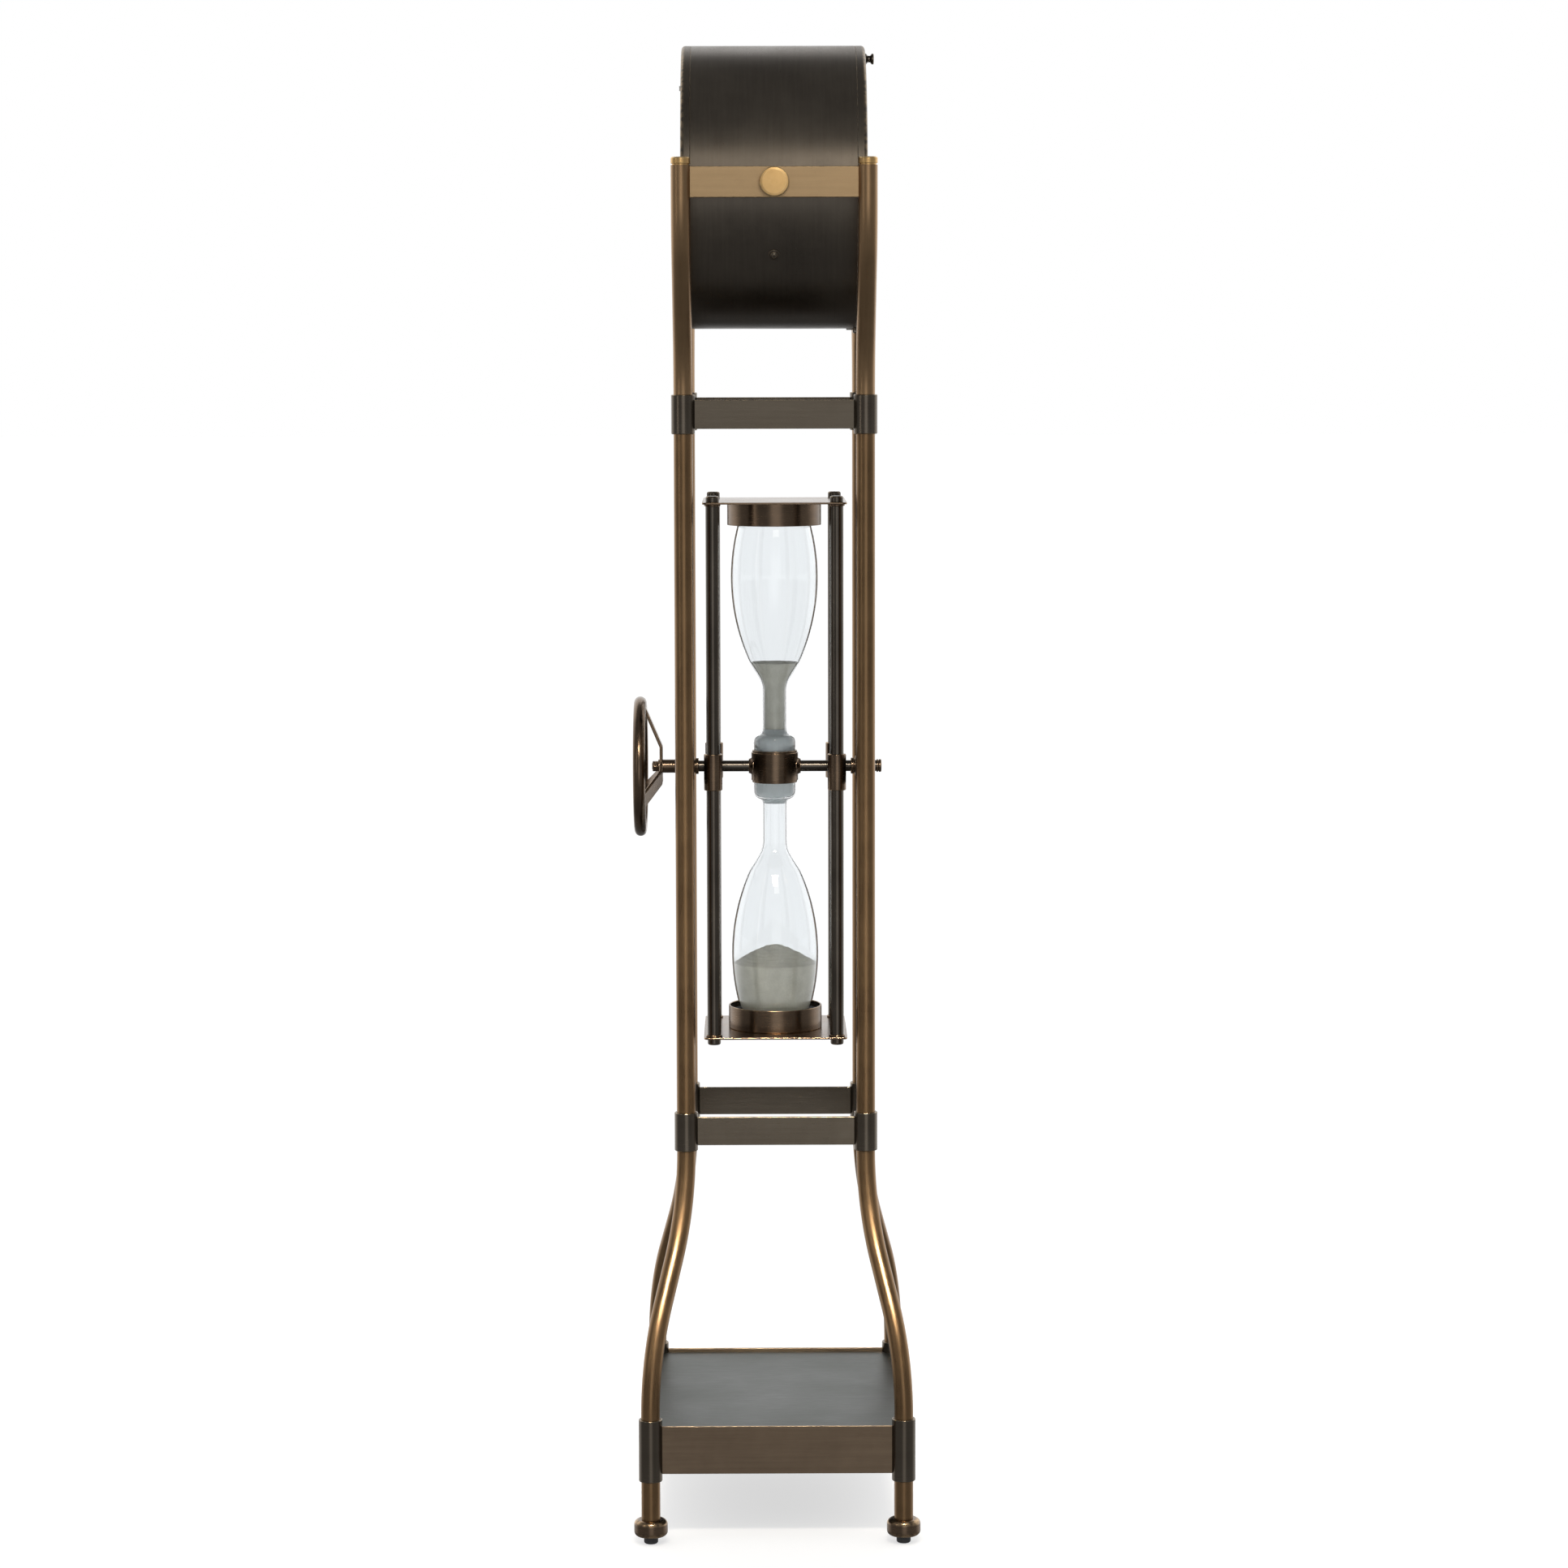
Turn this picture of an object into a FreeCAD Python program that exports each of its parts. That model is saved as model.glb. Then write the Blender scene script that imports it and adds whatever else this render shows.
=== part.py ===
import FreeCAD, Part
import math
import os
import Sketcher

# Floor-standing drum clock with a turning hourglass, in millimetres.
# +Z is up, +X is the side the dial faces and the origin is on the floor under the middle of the stand.
# Front is the dial side, back is the handwheel side, and left and right are as seen facing the dial.

SIZES = (
    # name, value, what it is
    ("tube_radius", 12.0, "outside of every stand tube"),
    ("tube_wall", 1.5, "wall of every stand tube"),
    ("post_half_x", 115.0, "middle post, from the centre line, front to back"),
    ("post_half_y", 109.5, "middle post, from the centre line, side to side"),
    ("foot_half_x", 160.5, "foot, from the centre line, front to back"),
    ("foot_half_y", 210.0, "foot, from the centre line, side to side"),
    ("yoke_clear", 43.0, "yoke tube's middle line beside the drum, from the drum"),
    ("fit_gap", 0.05, "radial gap of a fixed or running fit"),
    ("face_gap", 0.2, "gap between faces of pieces that move past each other"),
    ("seat_gap", 0.05, "gap between faces that are clamped together"),
    ("hole_gap", 0.2, "radial gap of a screw hole"),
    ("arbor_gap", 0.1, "radial gap of an arbor of the hands"),
    ("glide_radius", 9.0, "rubber levelling glide"),
    ("glide_tall", 9.6, "rubber levelling glide"),
    ("glide_bevel", 1.5, "bevel of the levelling glide"),
    ("glide_stud_radius", 4.9, "screw of the levelling glide"),
    ("glide_stud_long", 34.0, "screw of the levelling glide"),
    ("disc_low", 9.8, "underside of the foot disc"),
    ("disc_tall", 21.7, "foot disc"),
    ("disc_radius", 21.4, "foot disc"),
    ("disc_round", 4.0, "edge rounding of the foot disc"),
    ("disc_plug_long", 16.0, "plug of the foot disc inside the leg"),
    ("collar_wall", 3.0, "wall of the collars on the tubes"),
    ("collar_tall", 49.5, "collars of the middle frame"),
    ("base_collar_low", 81.0, "underside of the base collars"),
    ("base_collar_tall", 80.0, "base collars"),
    ("lower_joint", 512.0, "middle of the lower collars above the floor"),
    ("upper_joint", 1427.3, "middle of the upper collars above the floor"),
    ("bar_tall", 36.5, "flat bars of the middle frame"),
    ("bar_thick", 5.0, "flat bars of the middle frame"),
    ("apron_low", 90.0, "underside of the base aprons"),
    ("apron_tall", 61.5, "base aprons"),
    ("apron_thick", 4.0, "base aprons"),
    ("shelf_drop", 4.5, "depth of the shelf below the apron tops"),
    ("shelf_thick", 3.0, "shelf sheet"),
    ("leg_straight", 4.0, "straight stretch of a leg above its base collar"),
    ("leg_lean", 62.48, "straight stretch between the two bends of a leg"),
    ("yoke_lean", 104.79, "straight stretch between the two bends of a yoke tube"),
    ("yoke_straight", 1.0, "straight stretch of a yoke tube below the crossbar"),
    ("yoke_over", 20.5, "top of the yoke tubes above the drum's axis"),
    ("cap_groove", 1.6, "shadow gap under the post cap"),
    ("cap_tall", 8.4, "head of the post cap"),
    ("cap_round", 2.0, "edge rounding of the post cap"),
    ("cap_plug_long", 12.0, "plug of the post cap inside the tube"),
    ("crossbar_tall", 38.0, "bars that carry the drum"),
    ("crossbar_thick", 6.0, "bars that carry the drum"),
    ("drum_clear", 107.2, "gap between the drum and the middle of the upper collars"),
    ("drum_radius", 179.0, "outside of the drum"),
    ("drum_wall", 2.0, "drum skin"),
    ("drum_half", 104.0, "drum skin from its middle to each end"),
    ("ring_wide", 12.0, "bezel ring along the drum's axis"),
    ("ring_round", 5.0, "outer edge rounding of the bezel rings"),
    ("ring_face", 29.0, "front bezel ring from its bore to the outside of the drum"),
    ("ring_side", 6.0, "metal outside the hollow of the bezel rings"),
    ("ring_wall", 3.5, "face of the bezel rings at their hollow"),
    ("ring_bevel", 3.0, "bevel round the bore of the front bezel ring"),
    ("back_face", 21.0, "back ring from its bore to the outside of the drum"),
    ("lip_thick", 3.0, "lip of the back ring inside the drum"),
    ("lip_long", 1.8, "lip of the back ring inside the drum"),
    ("cover_thick", 2.0, "cover of the drum's back"),
    ("seat_deep", 13.0, "dial's seat flange from its bore to the outside of the drum"),
    ("back_seat_deep", 15.0, "cover's seat flange from its bore to the outside of the drum"),
    ("seat_thick", 2.5, "seat flanges in the drum"),
    ("dial_depth", 17.0, "front of the dial's seat flange behind the drum's edge"),
    ("dial_thick", 1.2, "dial plate"),
    ("glass_thick", 3.0, "door glass"),
    ("glass_lap", 6.0, "how far the door glass sits behind its ring"),
    ("glass_set", 1.8, "space behind the door glass in its ring"),
    ("glass_gap", 0.3, "radial gap round the door glass"),
    ("knob_inset", 16.4, "middle of the door knob from the outside of the drum"),
    ("knob_radius", 6.9, "flanges of the door knob"),
    ("knob_waist", 4.4, "waist of the door knob"),
    ("knob_flange", 2.4, "flanges of the door knob along its axis"),
    ("knob_taper", 1.2, "slopes between the knob's flanges and its waist"),
    ("knob_round", 0.8, "edge rounding of the door knob"),
    ("knob_long", 12.2, "door knob"),
    ("knob_stud", 2.0, "screw of the door knob"),
    ("knob_stud_long", 10.0, "screw of the door knob"),
    ("hinge_radius", 2.9, "barrel of the door hinge"),
    ("hinge_pin_radius", 1.2, "pin of the door hinge"),
    ("hinge_half", 12.0, "half the length of the door hinge"),
    ("hinge_middle", 4.0, "half the length of its middle knuckle"),
    ("hinge_leaf", 1.6, "leaf of the door hinge"),
    ("hinge_leaf_start", 0.6, "inner end of a leaf from the hinge's axis"),
    ("hinge_drop", 0.35, "gap between the drum and the barrel of the hinge"),
    ("hinge_leaf_gap", 0.1, "gap between the drum and the leaves of the hinge"),
    ("hinge_pin_over", 0.5, "how far the pin stands out of the hinge"),
    ("hinge_leaf_long", 11.0, "leaf of the door hinge along the drum"),
    ("movement_wide", 56.0, "square case of the clock movement"),
    ("movement_deep", 16.5, "case of the clock movement"),
    ("movement_wall", 2.0, "wall beside the battery in the movement"),
    ("arbor_bush_radius", 4.0, "threaded bush of the movement"),
    ("arbor_bush_long", 4.0, "threaded bush of the movement in front of the dial"),
    ("hour_tube_radius", 2.6, "tube of the hour hand"),
    ("minute_arbor_radius", 1.4, "arbor of the minute hand"),
    ("arbor_long", 12.0, "arbors of the hands, dial plate not counted"),
    ("hour_hand_rise", 5.0, "hour hand in front of the dial"),
    ("minute_hand_rise", 8.0, "minute hand in front of the dial"),
    ("hour_hub_radius", 6.5, "round hub of the hour hand"),
    ("minute_hub_radius", 5.5, "round hub of the minute hand"),
    ("hour_hand_long", 82.0, "hour hand"),
    ("minute_hand_long", 122.0, "minute hand"),
    ("hand_thick", 1.0, "clock hands"),
    ("hand_wide", 9.0, "widest part of the clock hands"),
    ("battery_radius", 7.1, "battery of the movement"),
    ("battery_long", 50.0, "battery of the movement"),
    ("battery_gap", 0.4, "gap beside and under the battery"),
    ("battery_end_gap", 0.5, "gap at each end of the battery"),
    ("setting_knob_radius", 6.0, "setting knob of the movement"),
    ("setting_knob_tall", 4.5, "setting knob of the movement"),
    ("setting_knob_gap", 0.5, "setting knob from the back of the movement"),
    ("setting_arbor_end", 4.0, "end of the setting arbor behind the movement's face"),
    ("pivot_radius", 6.0, "pivot screw of the drum"),
    ("pivot_spacer_wall", 4.0, "spacer between drum and crossbar"),
    ("pivot_head_over", 3.0, "rim of the pivot screw's head around its shank"),
    ("pivot_head_thick", 4.0, "head of the pivot screw inside the drum"),
    ("pivot_head_gap", 0.4, "gap between the pivot screw's head and the drum skin"),
    ("pivot_knob_radius", 18.2, "clamping knob of the drum"),
    ("pivot_stem_wall", 3.0, "wall of the clamping knob's stem"),
    ("pivot_stem_long", 6.0, "stem of the clamping knob"),
    ("pivot_knob_thick", 8.0, "clamping knob of the drum"),
    ("pivot_knob_round", 1.0, "edge rounding of the clamping knob"),
    ("pivot_knob_floor", 4.0, "face of the clamping knob in front of the pivot screw"),
    ("case_screw_drop", 87.8, "side screw of the drum below its axis"),
    ("case_screw_radius", 7.4, "head of the side screw"),
    ("case_screw_tall", 3.6, "head of the side screw"),
    ("case_screw_shank", 2.5, "shank of the side screw"),
    ("case_screw_long", 9.0, "shank of the side screw"),
    ("case_screw_rim", 0.8, "rim of the side screw under its dome"),
    ("back_screw_radius", 1.4, "shanks of the back screws"),
    ("back_screw_head", 3.6, "heads of the back screws"),
    ("back_screw_dome", 1.2, "rise of the back screws' heads"),
    ("back_screw_rim", 0.3, "rim of the back screws under their domes"),
    ("back_screw_long", 18.0, "shanks of the back screws"),
    ("axle_lift", 1.55, "hourglass axle above the middle between the two rows of collars"),
    ("axle_radius", 7.2, "hourglass axle"),
    ("axle_bar_thick", 10.0, "bars that carry the axle"),
    ("axle_bar_tall", 34.0, "bars that carry the axle"),
    ("axle_boss_wall", 4.3, "boss in the middle of an axle bar, around the bush"),
    ("axle_boss_long", 22.0, "boss in the middle of an axle bar"),
    ("bush_wall", 1.5, "wall of the axle bush"),
    ("bush_flange_over", 3.2, "flange of the axle bush around the axle"),
    ("bush_flange_thick", 4.2, "flange of the axle bush"),
    ("bush_reach_in", 16.5, "inner end of a bush from the middle of its bar"),
    ("bush_reach_out", 12.6, "outer end of a bush from the middle of its bar"),
    ("rod_clear", 36.0, "middle line of a rod from the middle line of the posts, front to back"),
    ("rod_radius", 8.7, "hourglass rods"),
    ("rod_end_radius", 4.0, "threaded ends of the rods"),
    ("rod_collar_wall", 3.1, "wall of the collars of the rods"),
    ("rod_collar_tall", 46.5, "collars of the rods"),
    ("cross_thick", 7.0, "bars between the rod collars"),
    ("cross_tall", 34.0, "bars between the rod collars"),
    ("plate_over_rod", 13.0, "edge of an end plate from the middle line of a rod"),
    ("plate_thick", 2.5, "end plates"),
    ("plate_round", 6.0, "corners of the end plates"),
    ("plate_over_bulb", 10.7, "inner face of an end plate from the bulb's closed end"),
    ("washer_over", 1.7, "rim of the washers around the rods"),
    ("washer_thick", 2.2, "washers under the end plates"),
    ("rod_nut_wall", 4.5, "wall of the cap nuts around their thread"),
    ("rod_nut_tall", 8.0, "cap nuts of the rods"),
    ("rod_nut_round", 2.5, "edge rounding of the cap nuts"),
    ("thread_over", 5.5, "threaded end of a rod beyond its end plate"),
    ("cup_radius", 60.5, "cups that hold the bulbs"),
    ("cup_tall", 29.4, "cups that hold the bulbs"),
    ("cup_wall", 2.0, "cups that hold the bulbs"),
    ("seat_tall", 20.0, "rubber seat inside a cup"),
    ("seat_side_gap", 0.4, "gap between the rubber seat and the bulb's side"),
    ("seat_end_gap", 0.3, "gap between the rubber seat and the bulb's closed end"),
    ("bulb_wall", 2.0, "wall of the bulbs"),
    ("bulb_foot_radius", 27.5, "foot of a bulb in the hub ring"),
    ("bulb_foot_start", 1.6, "foot of a bulb from the axle's middle"),
    ("foot_hole", 4.0, "hole in the foot of a bulb"),
    ("bulb_foot_end", 33.0, "start of the foot's rounded shoulder"),
    ("bulb_shoulder", 9.7, "radius of the foot's rounded shoulder"),
    ("neck_radius", 15.8, "neck of a bulb"),
    ("neck_start", 48.0, "start of the neck from the axle's middle"),
    ("neck_end", 98.0, "end of the neck from the axle's middle"),
    ("flare_radius", 20.0, "bulb radius where the neck's curve ends"),
    ("flare_end", 114.0, "where the neck's curve ends"),
    ("flare_curve", 32.0, "curve from neck to cone"),
    ("cone_radius", 33.0, "bulb radius where the cone ends"),
    ("cone_end", 135.0, "where the cone ends"),
    ("belly_curve", 270.0, "long curve of the bulb's side"),
    ("belly_radius", 48.6, "bulb radius where the long curve ends"),
    ("dome_tall", 23.0, "closed end of the bulb beyond its long curve"),
    ("dome_curve", 26.0, "curve of the bulb's closed end"),
    ("dome_radius", 26.0, "flat of the bulb's closed end"),
    ("dome_end", 331.0, "closed end of the bulb"),
    ("sand_gap", 0.3, "gap between sand and glass"),
    ("sand_top", 134.5, "sand level in the upper bulb above the axle"),
    ("sand_dip", 1.5, "dip in the middle of the sand in the upper bulb"),
    ("stopper_hole", 2.5, "hole through the ground stoppers"),
    ("sand_edge_deep", 75.0, "sand edge in the lower bulb from its closed end"),
    ("sand_peak_deep", 99.0, "sand peak in the lower bulb from its closed end"),
    ("hub_wall", 2.9, "wall of the hub ring around the bulbs' feet"),
    ("hub_half", 20.8, "half the height of the hub ring"),
    ("hub_step", 2.8, "height of the hub ring's lips"),
    ("hub_lip_wall", 1.7, "wall of the hub ring's lips"),
    ("hub_socket_wall", 2.2, "wall of the hub ring's sockets around the axle"),
    ("hub_socket_long", 3.2, "sockets of the hub ring beyond the ring"),
    ("axle_seat", 2.0, "how far the half axles go into the hub ring"),
    ("orifice_thick", 3.0, "disc with the sand hole"),
    ("orifice_hole", 1.5, "sand hole"),
    ("wheel_stand", 22.8, "middle plane of the handwheel's rim beyond its hub"),
    ("wheel_radius", 82.6, "middle circle of the handwheel's rim"),
    ("wheel_rim", 7.9, "section radius of the handwheel's rim"),
    ("wheel_hub_wall", 1.5, "wall of the handwheel's hub"),
    ("wheel_hub_gap", 0.8, "gap between the bush and the handwheel's hub"),
    ("wheel_hub_long", 22.6, "hub of the handwheel"),
    ("wheel_hub_seat", 2.0, "end of the handwheel's hub beyond the axle's shoulder"),
    ("spoke_wide", 22.0, "spokes of the handwheel"),
    ("spoke_thick", 4.0, "spokes of the handwheel"),
    ("spoke_inset", 6.0, "inner face of the spokes from the outer end of the hub"),
    ("spoke_bend", 26.0, "radius where the spokes bend"),
    ("spoke_tip", 4.8, "inner face of a spoke's tip from the rim's middle plane"),
    ("wheel_nut_flats", 13.0, "nut of the handwheel across its flats"),
    ("wheel_nut_thick", 7.2, "nut of the handwheel"),
    ("axle_end_over", 0.6, "how far the axle's back end stands out of its nut"),
    ("axle_end_radius", 4.5, "threaded ends of the axle"),
    ("axle_cap_over", 1.1, "rim of the axle's cap around the axle"),
    ("axle_cap_thick", 6.4, "cap on the axle's front end"),
    ("axle_cap_stand", 4.3, "cap of the axle from the end of the bush"),
    ("axle_cap_thread", 4.0, "threaded end of the axle in its cap"),
    ("axle_cap_flange", 1.9, "inner flange of the axle's cap"),
    ("axle_cap_taper", 0.3, "slopes of the groove in the axle's cap"),
    ("axle_cap_groove", 0.7, "floor of the groove in the axle's cap"),
    ("axle_cap_waist", 0.9, "depth of the groove in the axle's cap"),
    ("axle_cap_round", 1.0, "edge rounding of the axle's cap"),
)

DOC = FreeCAD.newDocument("drum_clock_with_hourglass")
SHEET = DOC.addObject("Spreadsheet::Sheet", "sizes")
for row, (alias, value, meaning) in enumerate(SIZES, start=1):
    SHEET.set(f"A{row}", alias)
    SHEET.set(f"B{row}", str(value))
    SHEET.set(f"C{row}", meaning)
    SHEET.setAlias(f"B{row}", alias)
DOC.recompute()


class Size:
    """A number together with the spreadsheet formula that gives it."""

    def __init__(self, value, text):
        self.value = value
        self.text = text

    def __add__(self, other):
        other = as_size(other)
        return Size(self.value + other.value, f"({self.text} + {other.text})")

    def __sub__(self, other):
        other = as_size(other)
        return Size(self.value - other.value, f"({self.text} - {other.text})")

    def __mul__(self, other):
        other = as_size(other)
        return Size(self.value * other.value, f"({self.text} * {other.text})")

    def __truediv__(self, other):
        other = as_size(other)
        return Size(self.value / other.value, f"({self.text} / {other.text})")

    def __neg__(self):
        return as_size(0) - self

    __radd__ = __add__
    __rmul__ = __mul__

    def __rsub__(self, other):
        return as_size(other) - self


def as_size(number):
    """A plain number as a Size, or the Size itself."""
    if isinstance(number, Size):
        return number
    return Size(float(number), f"({float(number)})")


def root(size):
    """Square root of a size."""
    return Size(math.sqrt(size.value), f"sqrt({size.text})")


def heading(across, along):
    """Angle in degrees of the direction (across, along) from the X axis."""
    value = math.degrees(math.atan2(along.value, across.value))
    return Size(value, f"(atan2({along.text}; {across.text}) / 1 deg)")


def sag(radius, half_chord):
    """Distance from a circle's centre to a chord of the given half length."""
    return root(radius * radius - half_chord * half_chord)


def dome_curve(radius, rise):
    """Radius of the arc that rises by the given amount from a rim to the middle."""
    return (radius * radius / rise + rise) / 2


class Sizes:
    """The spreadsheet's values by name, each as a Size, and the sizes that follow from them."""

    def __init__(self, rows):
        for name, value, _ in rows:
            setattr(self, name, Size(value, f"sizes.{name}"))
        self.follow_stand()
        self.follow_drum()
        self.follow_axle()
        self.follow_hourglass()

    def follow_stand(self):
        """Collars, and the places that hang on the middle frame."""
        self.collar_radius = self.tube_radius + self.collar_wall
        self.drum_axis = self.upper_joint + self.drum_radius + self.drum_clear
        self.yoke_half_y = self.drum_radius + self.yoke_clear
        self.yoke_top = self.drum_axis + self.yoke_over
        self.axle_height = (self.lower_joint + self.upper_joint) / 2 + self.axle_lift
        self.rod_half = self.post_half_x - self.rod_clear

    def follow_drum(self):
        """Bores, planes and pivots of the drum."""
        self.ring_bore = self.drum_radius - self.ring_face
        self.back_bore = self.drum_radius - self.back_face
        self.seat_bore = self.drum_radius - self.seat_deep
        self.back_seat_bore = self.drum_radius - self.back_seat_deep
        self.dial_plane = self.drum_half - self.dial_depth
        self.knob_offset = self.drum_radius - self.knob_inset
        self.pivot_spacer_radius = self.pivot_radius + self.pivot_spacer_wall
        self.pivot_head_radius = self.pivot_radius + self.pivot_head_over
        self.pivot_knob_stem = self.pivot_radius + self.pivot_stem_wall

    def follow_axle(self):
        """What is strung on the axle, from the bushes out to the handwheel and the cap."""
        self.bush_radius = self.axle_radius + self.bush_wall
        self.bush_flange_radius = self.axle_radius + self.bush_flange_over
        self.axle_boss_radius = self.bush_radius + self.axle_boss_wall
        self.bush_inner_end = self.post_half_x - self.bush_reach_in
        self.bush_outer_end = self.post_half_x + self.bush_reach_out
        self.wheel_hub_radius = self.axle_radius + self.wheel_hub_wall
        self.wheel_hub_start = self.bush_outer_end + self.wheel_hub_gap
        self.wheel_hub_end = self.wheel_hub_start + self.wheel_hub_long
        self.spoke_plane = self.wheel_hub_end - self.spoke_inset
        self.wheel_middle = self.wheel_hub_end + self.wheel_stand
        self.axle_cap_start = self.bush_outer_end + self.axle_cap_stand
        self.axle_cap_radius = self.axle_radius + self.axle_cap_over

    def follow_hourglass(self):
        """What fits the bulbs and the rods."""
        self.hub_radius = self.bulb_foot_radius + self.hub_wall
        self.hub_lip = self.bulb_foot_radius + self.hub_lip_wall
        self.hub_socket_radius = self.axle_radius + self.hub_socket_wall
        self.hub_socket_end = self.hub_radius + self.hub_socket_long
        self.belly_end = self.dome_end - self.dome_tall
        self.sand_edge = self.dome_end - self.sand_edge_deep
        self.sand_peak = self.dome_end - self.sand_peak_deep
        self.plate_inner = self.dome_end + self.plate_over_bulb
        self.plate_half = self.rod_half + self.plate_over_rod
        self.rod_collar_radius = self.rod_radius + self.rod_collar_wall
        self.washer_radius = self.rod_radius + self.washer_over
        self.rod_nut_radius = self.rod_end_radius + self.rod_nut_wall


S = Sizes(SIZES)
ZERO = as_size(0)
BEYOND = 1.0    # how far a cut starts or ends outside the metal
NODES = {}


# ---------------------------------------------------------------- helpers

def bind(thing, path, size):
    """Ties one property of an object to its formula."""
    thing.setExpression(path, as_size(size).text)


def move_to(thing, place):
    """Ties an object's position to three sizes."""
    for letter, size in zip("xyz", place):
        bind(thing, f".Placement.Base.{letter}", size)


def rotate(thing, axis, degrees):
    """Turns an object about its own origin."""
    thing.Placement.Rotation = FreeCAD.Rotation(FreeCAD.Vector(*axis), degrees)


TO_FRONT = ((0, 1, 0), 90)     # local +Z becomes +X
TO_BACK = ((0, 1, 0), -90)     # local +Z becomes -X
TO_LEFT = ((1, 0, 0), 90)      # local +Z becomes -Y
TO_RIGHT = ((1, 0, 0), -90)    # local +Z becomes +Y
UPSIDE_DOWN = ((1, 0, 0), 180)


def new_body(name):
    """An empty body whose label is the node's name."""
    body = DOC.addObject("PartDesign::Body", name)
    body.Label = name
    body.AllowCompound = True
    return body


def new_sketch(body, plane):
    """A sketch on one of the body's own origin planes."""
    sketch = body.newObject("Sketcher::SketchObject", f"{body.Name}_sketch")
    support = [item for item in body.Origin.OriginFeatures if item.Role == plane][0]
    sketch.AttachmentSupport = [(support, "")]
    sketch.MapMode = "FlatFace"
    return sketch


def pin_point(sketch, geometry, end, point):
    """Fixes one point of the sketch at its formulas."""
    for kind, size in zip(("DistanceX", "DistanceY"), point):
        number = sketch.addConstraint(Sketcher.Constraint(kind, -1, 1, geometry, end, size.value))
        bind(sketch, f"Constraints[{number}]", size)


def arc_middle(start, end, radius, side):
    """Point half way along the short arc, bulging left (1) or right (-1) of its direction."""
    chord = end - start
    centre_line = math.sqrt(max(radius * radius - chord.Length ** 2 / 4, 0.0))
    left = FreeCAD.Vector(-chord.y, chord.x, 0).normalize()
    return (start + end) / 2 + left * side * (radius - centre_line)


def draw_path(sketch, points, closed=True):
    """Lines and arcs through the points.

    A point is (across, up), or (across, up, radius, side) when an arc leaves it.
    """
    corners = [tuple(as_size(size) for size in point[:2]) for point in points]
    spots = [FreeCAD.Vector(across.value, up.value, 0) for across, up in corners]
    count = len(points) if closed else len(points) - 1
    ends = []
    for index in range(count):
        start, end = spots[index], spots[(index + 1) % len(points)]
        if len(points[index]) == 4:
            radius, side = as_size(points[index][2]), points[index][3]
            middle = arc_middle(start, end, radius.value, side)
            forward = side < 0
            edge = Part.Arc(start, middle, end) if forward else Part.Arc(end, middle, start)
            geometry = sketch.addGeometry(edge, False)
            number = sketch.addConstraint(Sketcher.Constraint("Radius", geometry, radius.value))
            bind(sketch, f"Constraints[{number}]", radius)
        else:
            geometry = sketch.addGeometry(Part.LineSegment(start, end), False)
            forward = True
        ends.append((geometry, 1 if forward else 2, 2 if forward else 1))
        pin_point(sketch, geometry, ends[-1][1], corners[index])
    for index in range(len(ends) - (0 if closed else 1)):
        this, following = ends[index], ends[(index + 1) % len(ends)]
        sketch.addConstraint(Sketcher.Constraint("Coincident", this[0], this[2], following[0], following[1]))
    if not closed:
        pin_point(sketch, ends[-1][0], ends[-1][2], corners[-1])


def draw_circle(sketch, across, up, radius):
    """A circle about (across, up)."""
    across, up, radius = as_size(across), as_size(up), as_size(radius)
    circle = Part.Circle(FreeCAD.Vector(across.value, up.value, 0), FreeCAD.Vector(0, 0, 1), radius.value)
    geometry = sketch.addGeometry(circle, False)
    pin_point(sketch, geometry, 3, (across, up))
    number = sketch.addConstraint(Sketcher.Constraint("Radius", geometry, radius.value))
    bind(sketch, f"Constraints[{number}]", radius)


def revolve(body, points):
    """Turns an outline of (radius, height) points about the body's Z axis."""
    sketch = new_sketch(body, "XZ_Plane")
    draw_path(sketch, points)
    feature = body.newObject("PartDesign::Revolution", f"{body.Name}_turning")
    feature.Profile = sketch
    feature.ReferenceAxis = (sketch, ["V_Axis"])
    feature.Angle = 360.0
    return feature


def hollow(body, points):
    """Cuts away what an outline of (radius, height) points sweeps about the body's Z axis."""
    sketch = new_sketch(body, "XZ_Plane")
    draw_path(sketch, points)
    feature = body.newObject("PartDesign::Groove", f"{body.Name}_hollow")
    feature.Profile = sketch
    feature.ReferenceAxis = (sketch, ["V_Axis"])
    feature.Angle = 360.0
    return feature


def pad(body, plane, draw, length, middle=False, flip=False):
    """Raises what draw puts in a sketch by the length."""
    sketch = new_sketch(body, plane)
    draw(sketch)
    feature = body.newObject("PartDesign::Pad", f"{body.Name}_pad")
    feature.Profile = sketch
    feature.Midplane = middle
    feature.Reversed = flip
    bind(feature, "Length", length)
    return feature


def drill(body, plane, draw):
    """Cuts what draw puts in a sketch right through the body, both ways."""
    sketch = new_sketch(body, plane)
    draw(sketch)
    feature = body.newObject("PartDesign::Pocket", f"{body.Name}_hole")
    feature.Profile = sketch
    feature.Type = "ThroughAll"
    feature.Midplane = True
    return feature


def drill_one_way(body, plane, draw, depth, flip=False, lean=0.0):
    """Cuts what draw puts in a sketch to a depth, on one side of its plane.

    The plane may lean by an angle in degrees about its own upright axis.
    """
    sketch = new_sketch(body, plane)
    sketch.AttachmentOffset.Rotation = FreeCAD.Rotation(FreeCAD.Vector(0, 1, 0), lean)
    draw(sketch)
    feature = body.newObject("PartDesign::Pocket", f"{body.Name}_pocket")
    feature.Profile = sketch
    feature.Reversed = flip
    bind(feature, "Length", depth)
    return feature


def node(thing, place=(ZERO, ZERO, ZERO), turn=None):
    """Puts a finished piece in its place and on the list of nodes."""
    if turn:
        rotate(thing, *turn)
    move_to(thing, place)
    return listed(thing)


def listed(thing):
    """Puts a piece that already has its place on the list of nodes."""
    NODES[thing.Label] = thing
    return thing


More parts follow.
